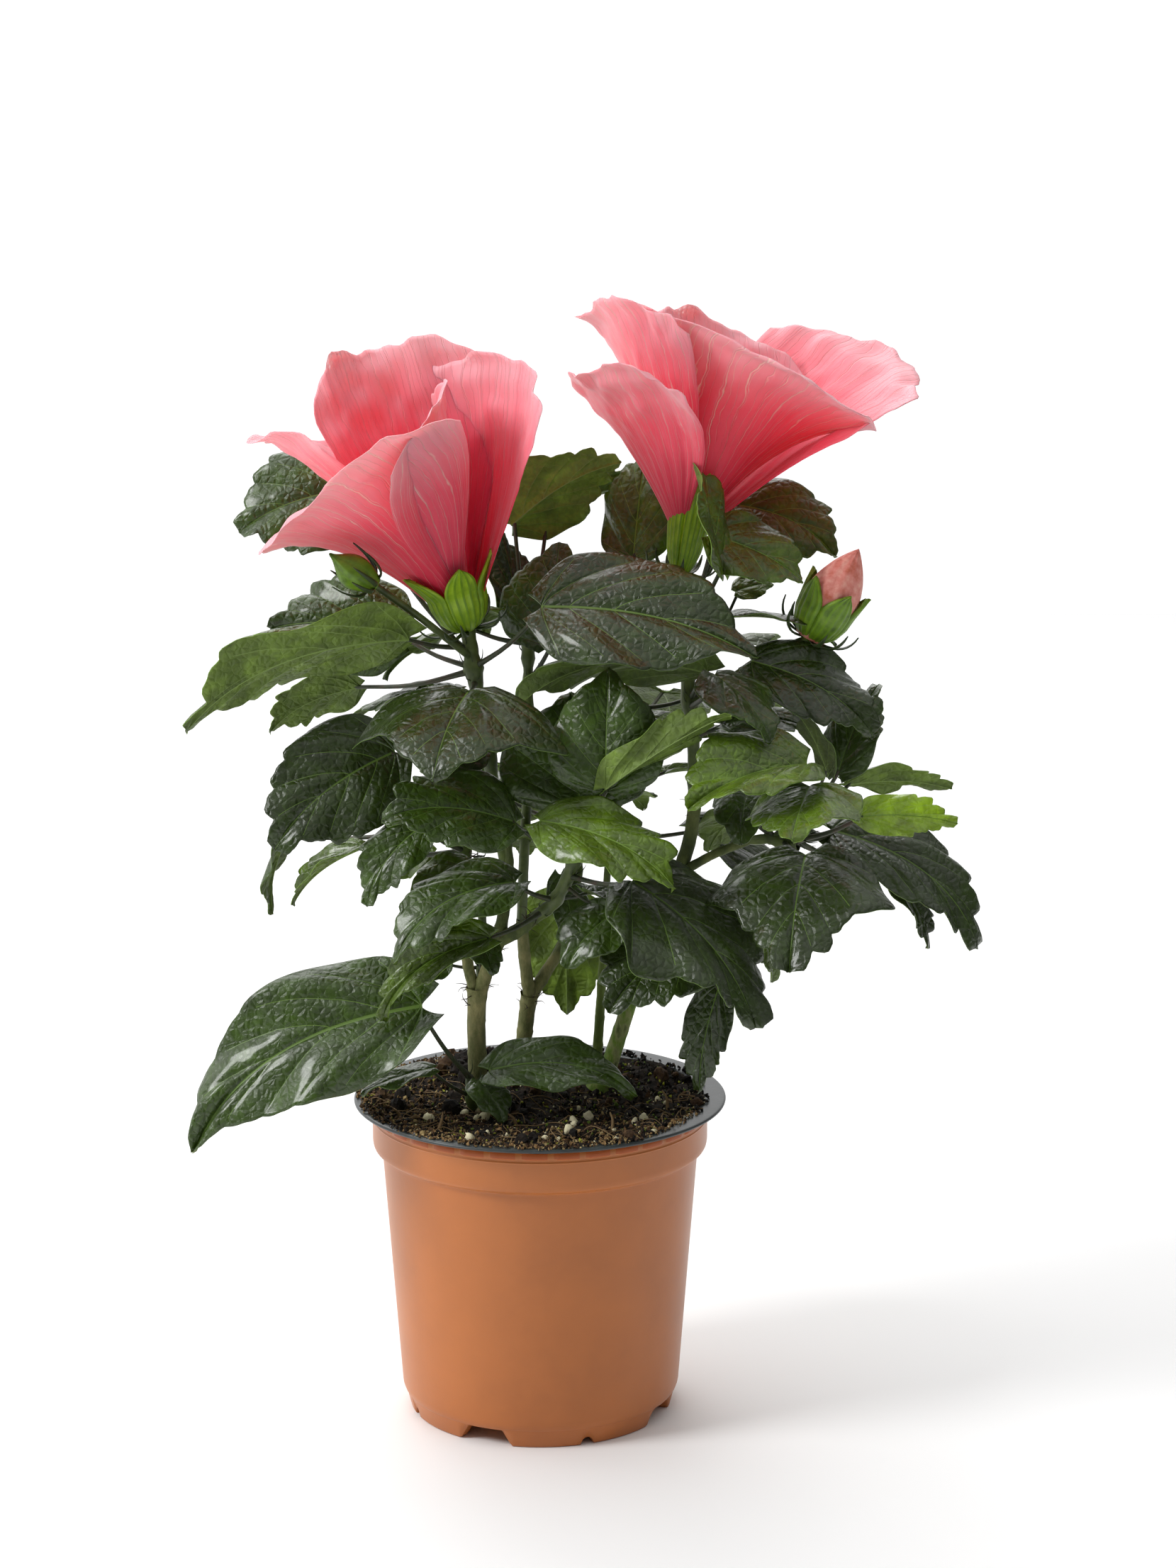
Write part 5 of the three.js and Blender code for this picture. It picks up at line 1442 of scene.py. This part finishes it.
def add_sepals(heap, place, calyx, closed=0.0):
    """The green cup under a bloom: five ribbed sepals, joined below and pointed above."""
    tube_up, sepal, radius = calyx["tube"], calyx["sepal"], calyx["radius"]
    low = np.array([0, 0.12, 0.35, 0.7, 1.0]) * tube_up
    wide = np.array([2.1, 0.45 * radius + 0.8, radius * 0.8, radius * 0.96, radius])
    tip_out = radius * mix(1.75, 0.35, closed)
    above = tube_up + sepal * np.linspace(0, 1, 15) ** 0.9
    levels = np.concatenate([np.linspace(0, tube_up, 12)[:-1], above])
    s = np.clip((levels - tube_up) / sepal, 0, 1)
    out = np.where(levels < tube_up, np.interp(levels, low, wide), mix(radius, tip_out, s**1.2))
    v = np.linspace(-1, 1, 31)[None, :]
    half = SEPAL_HALF * (1 - s**1.5) ** 0.9
    half = np.where(s > 0, half * 1.02, SEPAL_HALF)[:, None]
    rib_height = 0.34 * (0.4 + 0.6 * np.sin(math.pi * np.clip(levels / 30, 0, 1)))[:, None]
    ribs = np.cos(v * math.pi * RIB_WAVES) ** 2 * rib_height
    seam = -0.5 * np.abs(v) ** 8 * (1 - s[:, None])
    cup = out[:, None] * (1 - 0.10 * s[:, None] * v**2) + ribs + seam
    up = levels[:, None] - 0.6 * (1 - np.cos(v * math.pi / 2)) * s[:, None]
    # The ribs are darker than the skin between them.
    between_columns = (v[0, 1:] + v[0, :-1]) / 2
    on_rib = np.tile(np.abs(np.cos(between_columns * math.pi * RIB_WAVES)) > 0.93, len(levels) - 1)
    for k in range(SEPALS):
        around = k * 2 * SEPAL_HALF + v * np.maximum(half, 0.8)
        outside, inside = place(around, cup, up), place(around, cup - 0.55, up + 0.1)
        plate(heap, outside, inside, (CALYX_SKIN, CALYX_SKIN))
        heap.slots[-1][: len(on_rib)][on_rib] = CALYX_RIB


def add_bracts(heap, place, count, long, radius, lift=0.55):
    """The ring of slim bracts under the calyx, each curved out and up."""
    t = np.linspace(0, 1, 10)
    v = np.array([-1, -0.5, 0, 0.5, 1.0])[None, :]
    for k in range(count):
        turn = k * 360 / count + 11 * (k % 3)
        size = long * (1 + 0.15 * math.sin(k * 2.3))
        out = 1.9 + radius * np.sin(t * math.pi / 2) ** 0.9
        up = 0.6 - 1.2 * np.sin(t * math.pi) + size * lift * t**1.6
        spine = place(turn, out, up)
        girth = 0.75 * np.sin(math.pi * np.minimum(1, 0.25 + 0.75 * t)) ** 0.7 + 0.08
        side = unit(place(turn + 90, 1, 0) - place(0, 0, 0))
        lifted = unit(np.cross(unit(np.gradient(spine, axis=0)), side))
        body = spine[:, None] + side * (v * girth[:, None])[..., None]
        body = body + lifted[:, None] * (0.35 * np.abs(v) * girth[:, None])[..., None]
        off = lifted[:, None] * (BRACT_THICKNESS / 2)
        plate(heap, body + off, body - off, (BRACT, BRACT))


def add_column(heap, place, start, long):
    """The column of stamens: a slim tube with anthers on short filaments and five pads at its tip."""
    t = np.linspace(0, 1, 24)
    heap.add(*tube(place(0, 0, start + t * long), 0.8 + 0.9 * t**2 * (1 - 0.4 * t), 12), COLUMN_TUBE)
    for k in range(STAMENS):
        up = start + long * (0.45 + 0.5 * k / STAMENS)
        turn, reach = k * STAMEN_TURN, 3.2 + (k * 7 % 5) * 0.4
        rise = 0.8 + (k * 5 % 4) * 0.3
        path = place(turn, np.array([0.8, reach * 0.6, reach]), up + np.array([0, rise * 0.4, rise]))
        heap.add(*tube(path, [0.16] * 3, BRISTLE_SIDES), COLUMN_TUBE)
        points, faces = ball(0.3, k)
        heap.add(points * [0.62, 0.62, 0.5] + place(turn, reach, up + rise), faces, POLLEN)
    for k in range(SEPALS):
        path = place(k * 2 * SEPAL_HALF, np.array([0.3, 1.2, 2.2]), start + long + np.array([-0.5, 1.0, 1.5]))
        heap.add(*tube(path, [0.28] * 3, 5), STIGMA)
        points, faces = ball(0.15, k, fine=True)
        heap.add(points * [0.9, 0.9, 0.6] + path[-1], faces, STIGMA)


def grow_bloom(bloom, petals_finish, green_finish, column_finish):
    """A bloom: its petals, its calyx with bracts and its column of stamens."""
    place = flower_frame(bloom["base"], bloom["lean"])
    start = bloom["calyx"]["tube"] - 8.0
    petals, cup, column = Heap(), Heap(), Heap()
    for k, petal in enumerate(bloom["petals"]):
        add_petal(petals, place, start, petal, k)
    add_sepals(cup, place, bloom["calyx"])
    add_bracts(cup, place, 8, 9.5, bloom["calyx"]["radius"] + 3.2)
    add_column(column, place, start, bloom["petals"][1]["blade"] * COLUMN_SHARE)
    name = bloom["name"]
    make_piece(name + "_petals", petals, petals_finish, "petal", [name], PETAL_MAPS)
    make_piece(name + "_calyx", cup, green_finish, "bud_green", [name])
    make_piece(name + "_stamens", column, column_finish, "petal", [name])


def grow_bud(bud, bud_finish, petals_finish):
    """A bud: its ribbed green calyx, its bracts and, if it is about to open, the rolled petals."""
    place = flower_frame(bud["base"], bud["lean"])
    long, wide, opening = bud["long"], bud["wide"], bud["petals"]
    u = np.linspace(0, 1, BUD_LEVELS)[:, None]
    angle = np.degrees(round_angles(BUD_SIDES))[None, :]
    pointed = 0.75 + (0.1 if opening else 1.2) * u
    plain = 0.4 + (wide / 2) * np.sin(math.pi * np.minimum(1, 0.14 + u * 0.85)) ** pointed
    plain[-1] = 0.15
    green = Heap()
    if opening:
        add_bracts(green, place, 7, long * 0.4, wide * 0.5 + 3.0)
        add_sepals(green, place, dict(tube=long * 0.36, sepal=long * 0.26, radius=wide / 2 + 0.5), closed=0.4)
        twist = u * 150
        furl = 0.4 * np.abs(np.sin(np.radians(angle * 2.5 + twist))) ** 0.6 * np.sin(math.pi * u)
        fine = 0.13 * np.sin(np.radians(angle * 12 + twist * 1.5))
        girth = (plain - 0.9 + furl + fine) * (u > 0)
        rolled = Heap()
        rolled.add_shell(place(angle, np.maximum(girth, 0.05), u * long))
        make_piece(bud["name"] + "_furled", rolled, [petals_finish], "petal", [bud["name"]])
    else:
        add_bracts(green, place, 7, long * 0.6, wide * 0.5 + 1.2, lift=0.95)
        ridge = 0.35 * np.cos(np.radians(angle * 5)) ** 3 * np.sin(math.pi * u)
        fine = 0.08 * np.cos(np.radians(angle * 25))
        girth = plain + ridge + fine
        green.add_shell(place(angle, np.maximum(girth, 0.05), u * long), CALYX_SKIN)
    make_piece(bud["name"] + "_calyx", green, bud_finish, "bud_green", [bud["name"]])


# ---------------------------------------------------------------- add-on


def colour_property(name, description, default):
    """A colour's property, which holds it as sRGB hex."""
    described = description + ", as sRGB hex"
    return bpy.props.StringProperty(name=name, description=described, default=default, maxlen=7)


def number_property(name, description, default, **kind):
    """A number's property; kind may give its unit or subtype."""
    return bpy.props.FloatProperty(name=name, description=description, default=default, **kind)


class HibiscusFoliage(bpy.types.PropertyGroup):
    dark_over: colour_property("Old leaf", "Colour of an old leaf's upper side", "#263609")
    dark_under: colour_property("Old underside", "Colour of an old leaf's underside", "#4b5a28")
    deep_over: colour_property("Grown leaf", "Colour of a grown leaf's upper side", "#30450a")
    deep_under: colour_property("Grown underside", "Colour of a grown leaf's underside", "#566a2a")
    mid_over: colour_property("Green leaf", "Colour of a green leaf's upper side", "#435808")
    mid_under: colour_property("Green underside", "Colour of a green leaf's underside", "#60762d")
    bright_over: colour_property("Bright leaf", "Colour of a bright leaf's upper side", "#516a12")
    bright_under: colour_property("Bright underside", "Colour of a bright leaf's underside", "#6f882e")
    young_over: colour_property("Young leaf", "Colour of a young leaf's upper side", "#7a9912")
    young_under: colour_property("Young underside", "Colour of a young leaf's underside", "#889f30")
    vein: colour_property("Vein", "Colour of an old leaf's veins", "#5e7933")
    pale_vein: colour_property("Pale vein", "Colour of a green leaf's veins", "#76963a")
    under_vein: colour_property("Underside vein", "Colour of the veins beneath", "#7c944a")


class HibiscusPot(bpy.types.PropertyGroup):
    terracotta: colour_property("Terracotta", "Colour of the pot's shell", "#b56a32")
    layer: colour_property("Lip", "Colour of the dark layer at the lip", "#33393a")


class HibiscusBlooms(bpy.types.PropertyGroup):
    throat: colour_property("Throat", "Colour of a petal's foot", "#d20a32")
    # The petal and rim colours are lightened, partly to paint the glow of light shining through the petals.
    body: colour_property("Petal", "Colour of a petal's middle", "#f25469")
    rim: colour_property("Rim", "Colour of a petal's rim", "#f9a2ac")
    vein: colour_property("Petal vein", "Colour of a petal's veins", "#fcd2c2")


CAMERA_TILT = math.radians(11.92)


class HibiscusStage(bpy.types.PropertyGroup):
    camera_side: number_property("Camera side", "How far right of the pot's axis", 0.0155, unit="LENGTH")
    camera_away: number_property("Camera distance", "Distance from the pot's axis", 1.12, unit="LENGTH")
    camera_height: number_property("Camera height", "Height over the floor", 0.443, unit="LENGTH")
    camera_down: number_property("Camera tilt", "Slope down from the level", CAMERA_TILT, subtype="ANGLE")
    front_glow: number_property("Front glow", "Brightness of the room in front", 0.08)
    back_glow: number_property("Back glow", "Brightness of the room behind", 1.12)
    top_glow: number_property("Top glow", "Extra brightness of the ceiling", 0.9)
    lens: number_property("Lens", "Focal length in mm, on a 36 mm side", 82.8)


def hex_of(group, *names):
    """The colours that a property group holds under the names."""
    return [getattr(group, name) for name in names]


def foliage_finishes():
    """The materials of the leaves, in the colours that are set."""
    group = bpy.context.scene.hibiscus_foliage
    colours = {tone: hex_of(group, tone + "_over", tone + "_under") for tone in TONES}
    colours.update(zip(VEIN_FINISHES, hex_of(group, *VEIN_FINISHES)))
    return leaf_finishes(colours)


class HIBISCUS_OT_pot(bpy.types.Operator):
    """Mould the nursery pot"""

    bl_idname = "hibiscus.pot"
    bl_label = "Nursery pot"

    def execute(self, context):
        group = context.scene.hibiscus_pot
        mould_pot(pot_finishes(group.terracotta, group.layer))
        return {"FINISHED"}


class HIBISCUS_OT_soil(bpy.types.Operator):
    """Fill the pot with soil and strew what lies on it"""

    bl_idname = "hibiscus.soil"
    bl_label = "Soil"

    def execute(self, context):
        ground = soil_finish("damp peat", ["#0d0a08", "#1d1611", "#2c2118", "#3a2a1c"])
        tip_soil(ground)
        peats = [
            soil_finish("wet peat crumb", ["#0c0908", "#1a1410", "#261c15"]),
            soil_finish("brown peat crumb", ["#33241a", "#4d3826", "#664c32"]),
            soil_finish("dry peat crumb", ["#6b4f31", "#8c6d46", "#a6895d"]),
            soil_finish("straw of peat", ["#7d663f", "#ac9566", "#c8b486"]),
        ]
        perlite = matt_material("expanded perlite", "#d9d0ae", 0.85, 0.5, 0.2)
        moss = [
            matt_material("green moss", "#55691c", 0.9, 0.4, 0.2),
            matt_material("yellow moss", "#97992e", 0.9, 0.4, 0.2),
        ]
        root = matt_material("dry root", "#7a6343", 0.85, 0.4, 0.1)
        strew_soil(peats, perlite, moss, root)
        return {"FINISHED"}


class HIBISCUS_OT_limbs(bpy.types.Operator):
    """Grow the stems and boughs with their bark"""

    bl_idname = "hibiscus.limbs"
    bl_label = "Stems and boughs"

    def execute(self, context):
        finishes = {
            "old": bark_finish("old hibiscus bark", ["#3c4824", "#606437", "#7f7d50", "#9c9463"], 5.0),
            "green": bark_finish("green hibiscus bark", ["#353f1e", "#505b2c", "#6c7240"], 6.0),
            "thin": bark_finish("smooth green bark", ["#56682c", "#6d7f38", "#82924c"], 9.0),
            "right": bark_finish("mottled green bark", ["#4a6a1e", "#6f8a30", "#8f9660", "#55602e"], 3.5),
        }
        for limb in LIMBS:
            grow_limb(limb, finishes[limb["bark"]])
        bristles = Heap()
        for k, (centre, axis, reach, count) in enumerate(SHAGGY_PLACES):
            add_bristles(bristles, centre, axis, reach, count, 900 + k * 37)
        dry = matt_material("dry stipule", "#4b4230", 0.8, 0.4, 0.05)
        make_piece("dry_bristles", bristles, [dry], "old_bark")
        return {"FINISHED"}


class HIBISCUS_OT_foliage(bpy.types.Operator):
    """Grow each mass of foliage"""

    bl_idname = "hibiscus.foliage"
    bl_label = "Foliage"

    def execute(self, context):
        blades = foliage_finishes()
        twigs = [
            stalk_finish("wine-flushed stalk", ["#262c1b", "#38402a", "#4a3a30"]),
            stalk_finish("green shoot", ["#33401f", "#4c5a2c", "#5d6b35"], 6.0),
            stalk_finish("stipule", ["#2c3a1c", "#43522a"]),
        ]
        for number, mass in enumerate(MASSES):
            grow_mass(mass, number, blades, twigs)
        return {"FINISHED"}


class HIBISCUS_OT_blooms(bpy.types.Operator):
    """Open the blooms and set the buds"""

    bl_idname = "hibiscus.blooms"
    bl_label = "Blooms and buds"

    def execute(self, context):
        group = context.scene.hibiscus_blooms
        throat, body, rim, vein = hex_of(group, "throat", "body", "rim", "vein")
        petals = [
            petal_finish("satin petal inside", throat, mixed(body, throat, 0.2), rim, vein, 0.2),
            petal_finish("satin petal outside", mixed(throat, body, 0.45), body, rim, vein, 0.95),
        ]
        green = [
            # The calyx's bright yellow-green is partly its own colour and partly painted glow of light
            # shining through it from behind.
            stalk_finish("ribbed green calyx", ["#6a9010", "#8cb01c", "#a4c62c"], 5.0, 0.42),
            stalk_finish("dark bract", ["#263417", "#384a20"], 4.0),
            stalk_finish("calyx rib", ["#62880f", "#7aa01a"], 4.0),
        ]
        column = [
            matt_material("stamen column", "#d8365a", 0.5, 0.6, 0.05),
            matt_material("yellow pollen", "#e8c45a", 0.9, 0.3, 0.1),
            matt_material("velvet stigma", "#b81f3c", 0.8, 0.3, 0.1),
        ]
        for bloom in BLOOMS:
            grow_bloom(bloom, petals, green, column)
        furled = stalk_finish("furled salmon petal", ["#c4664e", "#d9867a", "#e6aa98"], 3.0, 0.55)
        bud_green = [stalk_finish("bud calyx", ["#4a6614", "#668a1c", "#7e9c2c"], 4.0, 0.42)] + green[1:]
        for bud in BUDS:
            grow_bud(bud, bud_green, furled)
        return {"FINISHED"}


# Large soft lamps: name, place in metres, diameter in metres and power in watts.
SOFT_LIGHTS = [
    ("key", (-1.35, -0.55, 1.2), 0.6, 18),
    ("fill", (1.5, -0.9, 1.0), 0.7, 0.2),
    ("back", (-0.3, 1.2, 1.5), 1.2, 9),
]
LAMP_AIM = mathutils.Vector((0, 0, 0.2))
FLOOR_HALF = 1.6  # metres from the plant to each side
PAPER_GLOW = 1.1


def lay_floor():
    """A square of white paper under the pot."""
    corners = [(FLOOR_HALF * x, FLOOR_HALF * y, 0) for x, y in ((-1, -1), (1, -1), (1, 1), (-1, 1))]
    mesh = bpy.data.meshes.new("floor")
    mesh.from_pydata(corners, [], [(0, 1, 2, 3)])
    mesh.materials.append(matt_material("white paper floor", "#f4f4f4", 0.9, 2.0, 0.01))
    floor = bpy.data.objects.new("floor", mesh)
    bpy.context.scene.collection.objects.link(floor)


def light_room(group):
    """A white room that is brightest behind and above the plant, as in a white cove."""
    world = bpy.data.worlds.new("white room")
    world.use_nodes = True
    tree = world.node_tree
    way = add_node(tree, "ShaderNodeTexCoord")
    parts = add_node(tree, "ShaderNodeSeparateXYZ", Vector=(way, "Generated"))
    aslant = new_maths(tree, "MULTIPLY_ADD", (parts, "X"), -0.8, (parts, "Y"))
    glow = ranged(tree, aslant, 0.1, 0.9, group.front_glow, group.back_glow)
    high = ranged(tree, (parts, "Z"), 0.35, 0.9, 0.0, group.top_glow)
    # The paper behind the plant is plain white, whatever light the room casts from there.
    seen = (add_node(tree, "ShaderNodeLightPath"), "Is Camera Ray")
    both = new_maths(tree, "ADD", glow, high)
    paper = add_node(tree, "ShaderNodeMix", {"data_type": "FLOAT"}, _0=seen, _2=both, _3=PAPER_GLOW)
    tree.links.new(paper.outputs[0], tree.nodes["Background"].inputs["Strength"])
    tree.nodes["Background"].inputs["Color"].default_value = (1, 1, 1, 1)
    bpy.context.scene.world = world


def hang_lamps():
    """The soft lamps, turned to the plant."""
    for name, place, size, power in SOFT_LIGHTS:
        light = bpy.data.lights.new(name, "AREA")
        light.shape, light.size, light.energy = "DISK", size, power
        lamp = bpy.data.objects.new(name, light)
        lamp.location = place
        lamp.rotation_euler = (LAMP_AIM - lamp.location).to_track_quat("-Z", "Y").to_euler()
        bpy.context.scene.collection.objects.link(lamp)


def set_camera(group):
    """The camera in front of the plant, level from side to side."""
    scene = bpy.context.scene
    lens = bpy.data.cameras.new("camera")
    lens.lens, lens.sensor_width, lens.clip_end = group.lens, 36, 20
    camera = bpy.data.objects.new("camera", lens)
    camera.location = (AXIS[0] + group.camera_side, AXIS[1] - group.camera_away, group.camera_height)
    camera.rotation_euler = (math.pi / 2 - group.camera_down, 0, 0)
    scene.collection.objects.link(camera)
    scene.camera = camera


class HIBISCUS_OT_stage(bpy.types.Operator):
    """Set the pale floor, the soft lights and the camera"""

    bl_idname = "hibiscus.stage"
    bl_label = "Stage"

    def execute(self, context):
        group = context.scene.hibiscus_stage
        context.scene.view_settings.view_transform = "Standard"
        lay_floor()
        light_room(group)
        hang_lamps()
        set_camera(group)
        return {"FINISHED"}


OPERATORS = [
    HIBISCUS_OT_stage,
    HIBISCUS_OT_pot,
    HIBISCUS_OT_soil,
    HIBISCUS_OT_limbs,
    HIBISCUS_OT_foliage,
    HIBISCUS_OT_blooms,
]


class HIBISCUS_PT_panel(bpy.types.Panel):
    bl_idname = "HIBISCUS_PT_panel"
    bl_label = "Potted hibiscus"
    bl_space_type = "VIEW_3D"
    bl_region_type = "UI"
    bl_category = "Hibiscus"

    def draw(self, context):
        for operator in OPERATORS:
            self.layout.operator(operator.bl_idname)
        for title in GROUPS:
            box = self.layout.box()
            group = getattr(context.scene, title)
            for name in type(group).__annotations__:
                box.prop(group, name)


GROUPS = {
    "hibiscus_stage": HibiscusStage,
    "hibiscus_pot": HibiscusPot,
    "hibiscus_foliage": HibiscusFoliage,
    "hibiscus_blooms": HibiscusBlooms,
}


def register():
    for title, group in GROUPS.items():
        bpy.utils.register_class(group)
        setattr(bpy.types.Scene, title, bpy.props.PointerProperty(type=group))
    for each in OPERATORS + [HIBISCUS_PT_panel]:
        bpy.utils.register_class(each)


def unregister():
    for each in reversed(OPERATORS + [HIBISCUS_PT_panel]):
        bpy.utils.unregister_class(each)
    for title, group in reversed(GROUPS.items()):
        delattr(bpy.types.Scene, title)
        bpy.utils.unregister_class(group)


def main():
    register()
    bpy.ops.hibiscus.stage()
    bpy.ops.hibiscus.pot()
    bpy.ops.hibiscus.soil()
    bpy.ops.hibiscus.limbs()
    bpy.ops.hibiscus.foliage()
    bpy.ops.hibiscus.blooms()


if __name__ == "__main__":
    main()
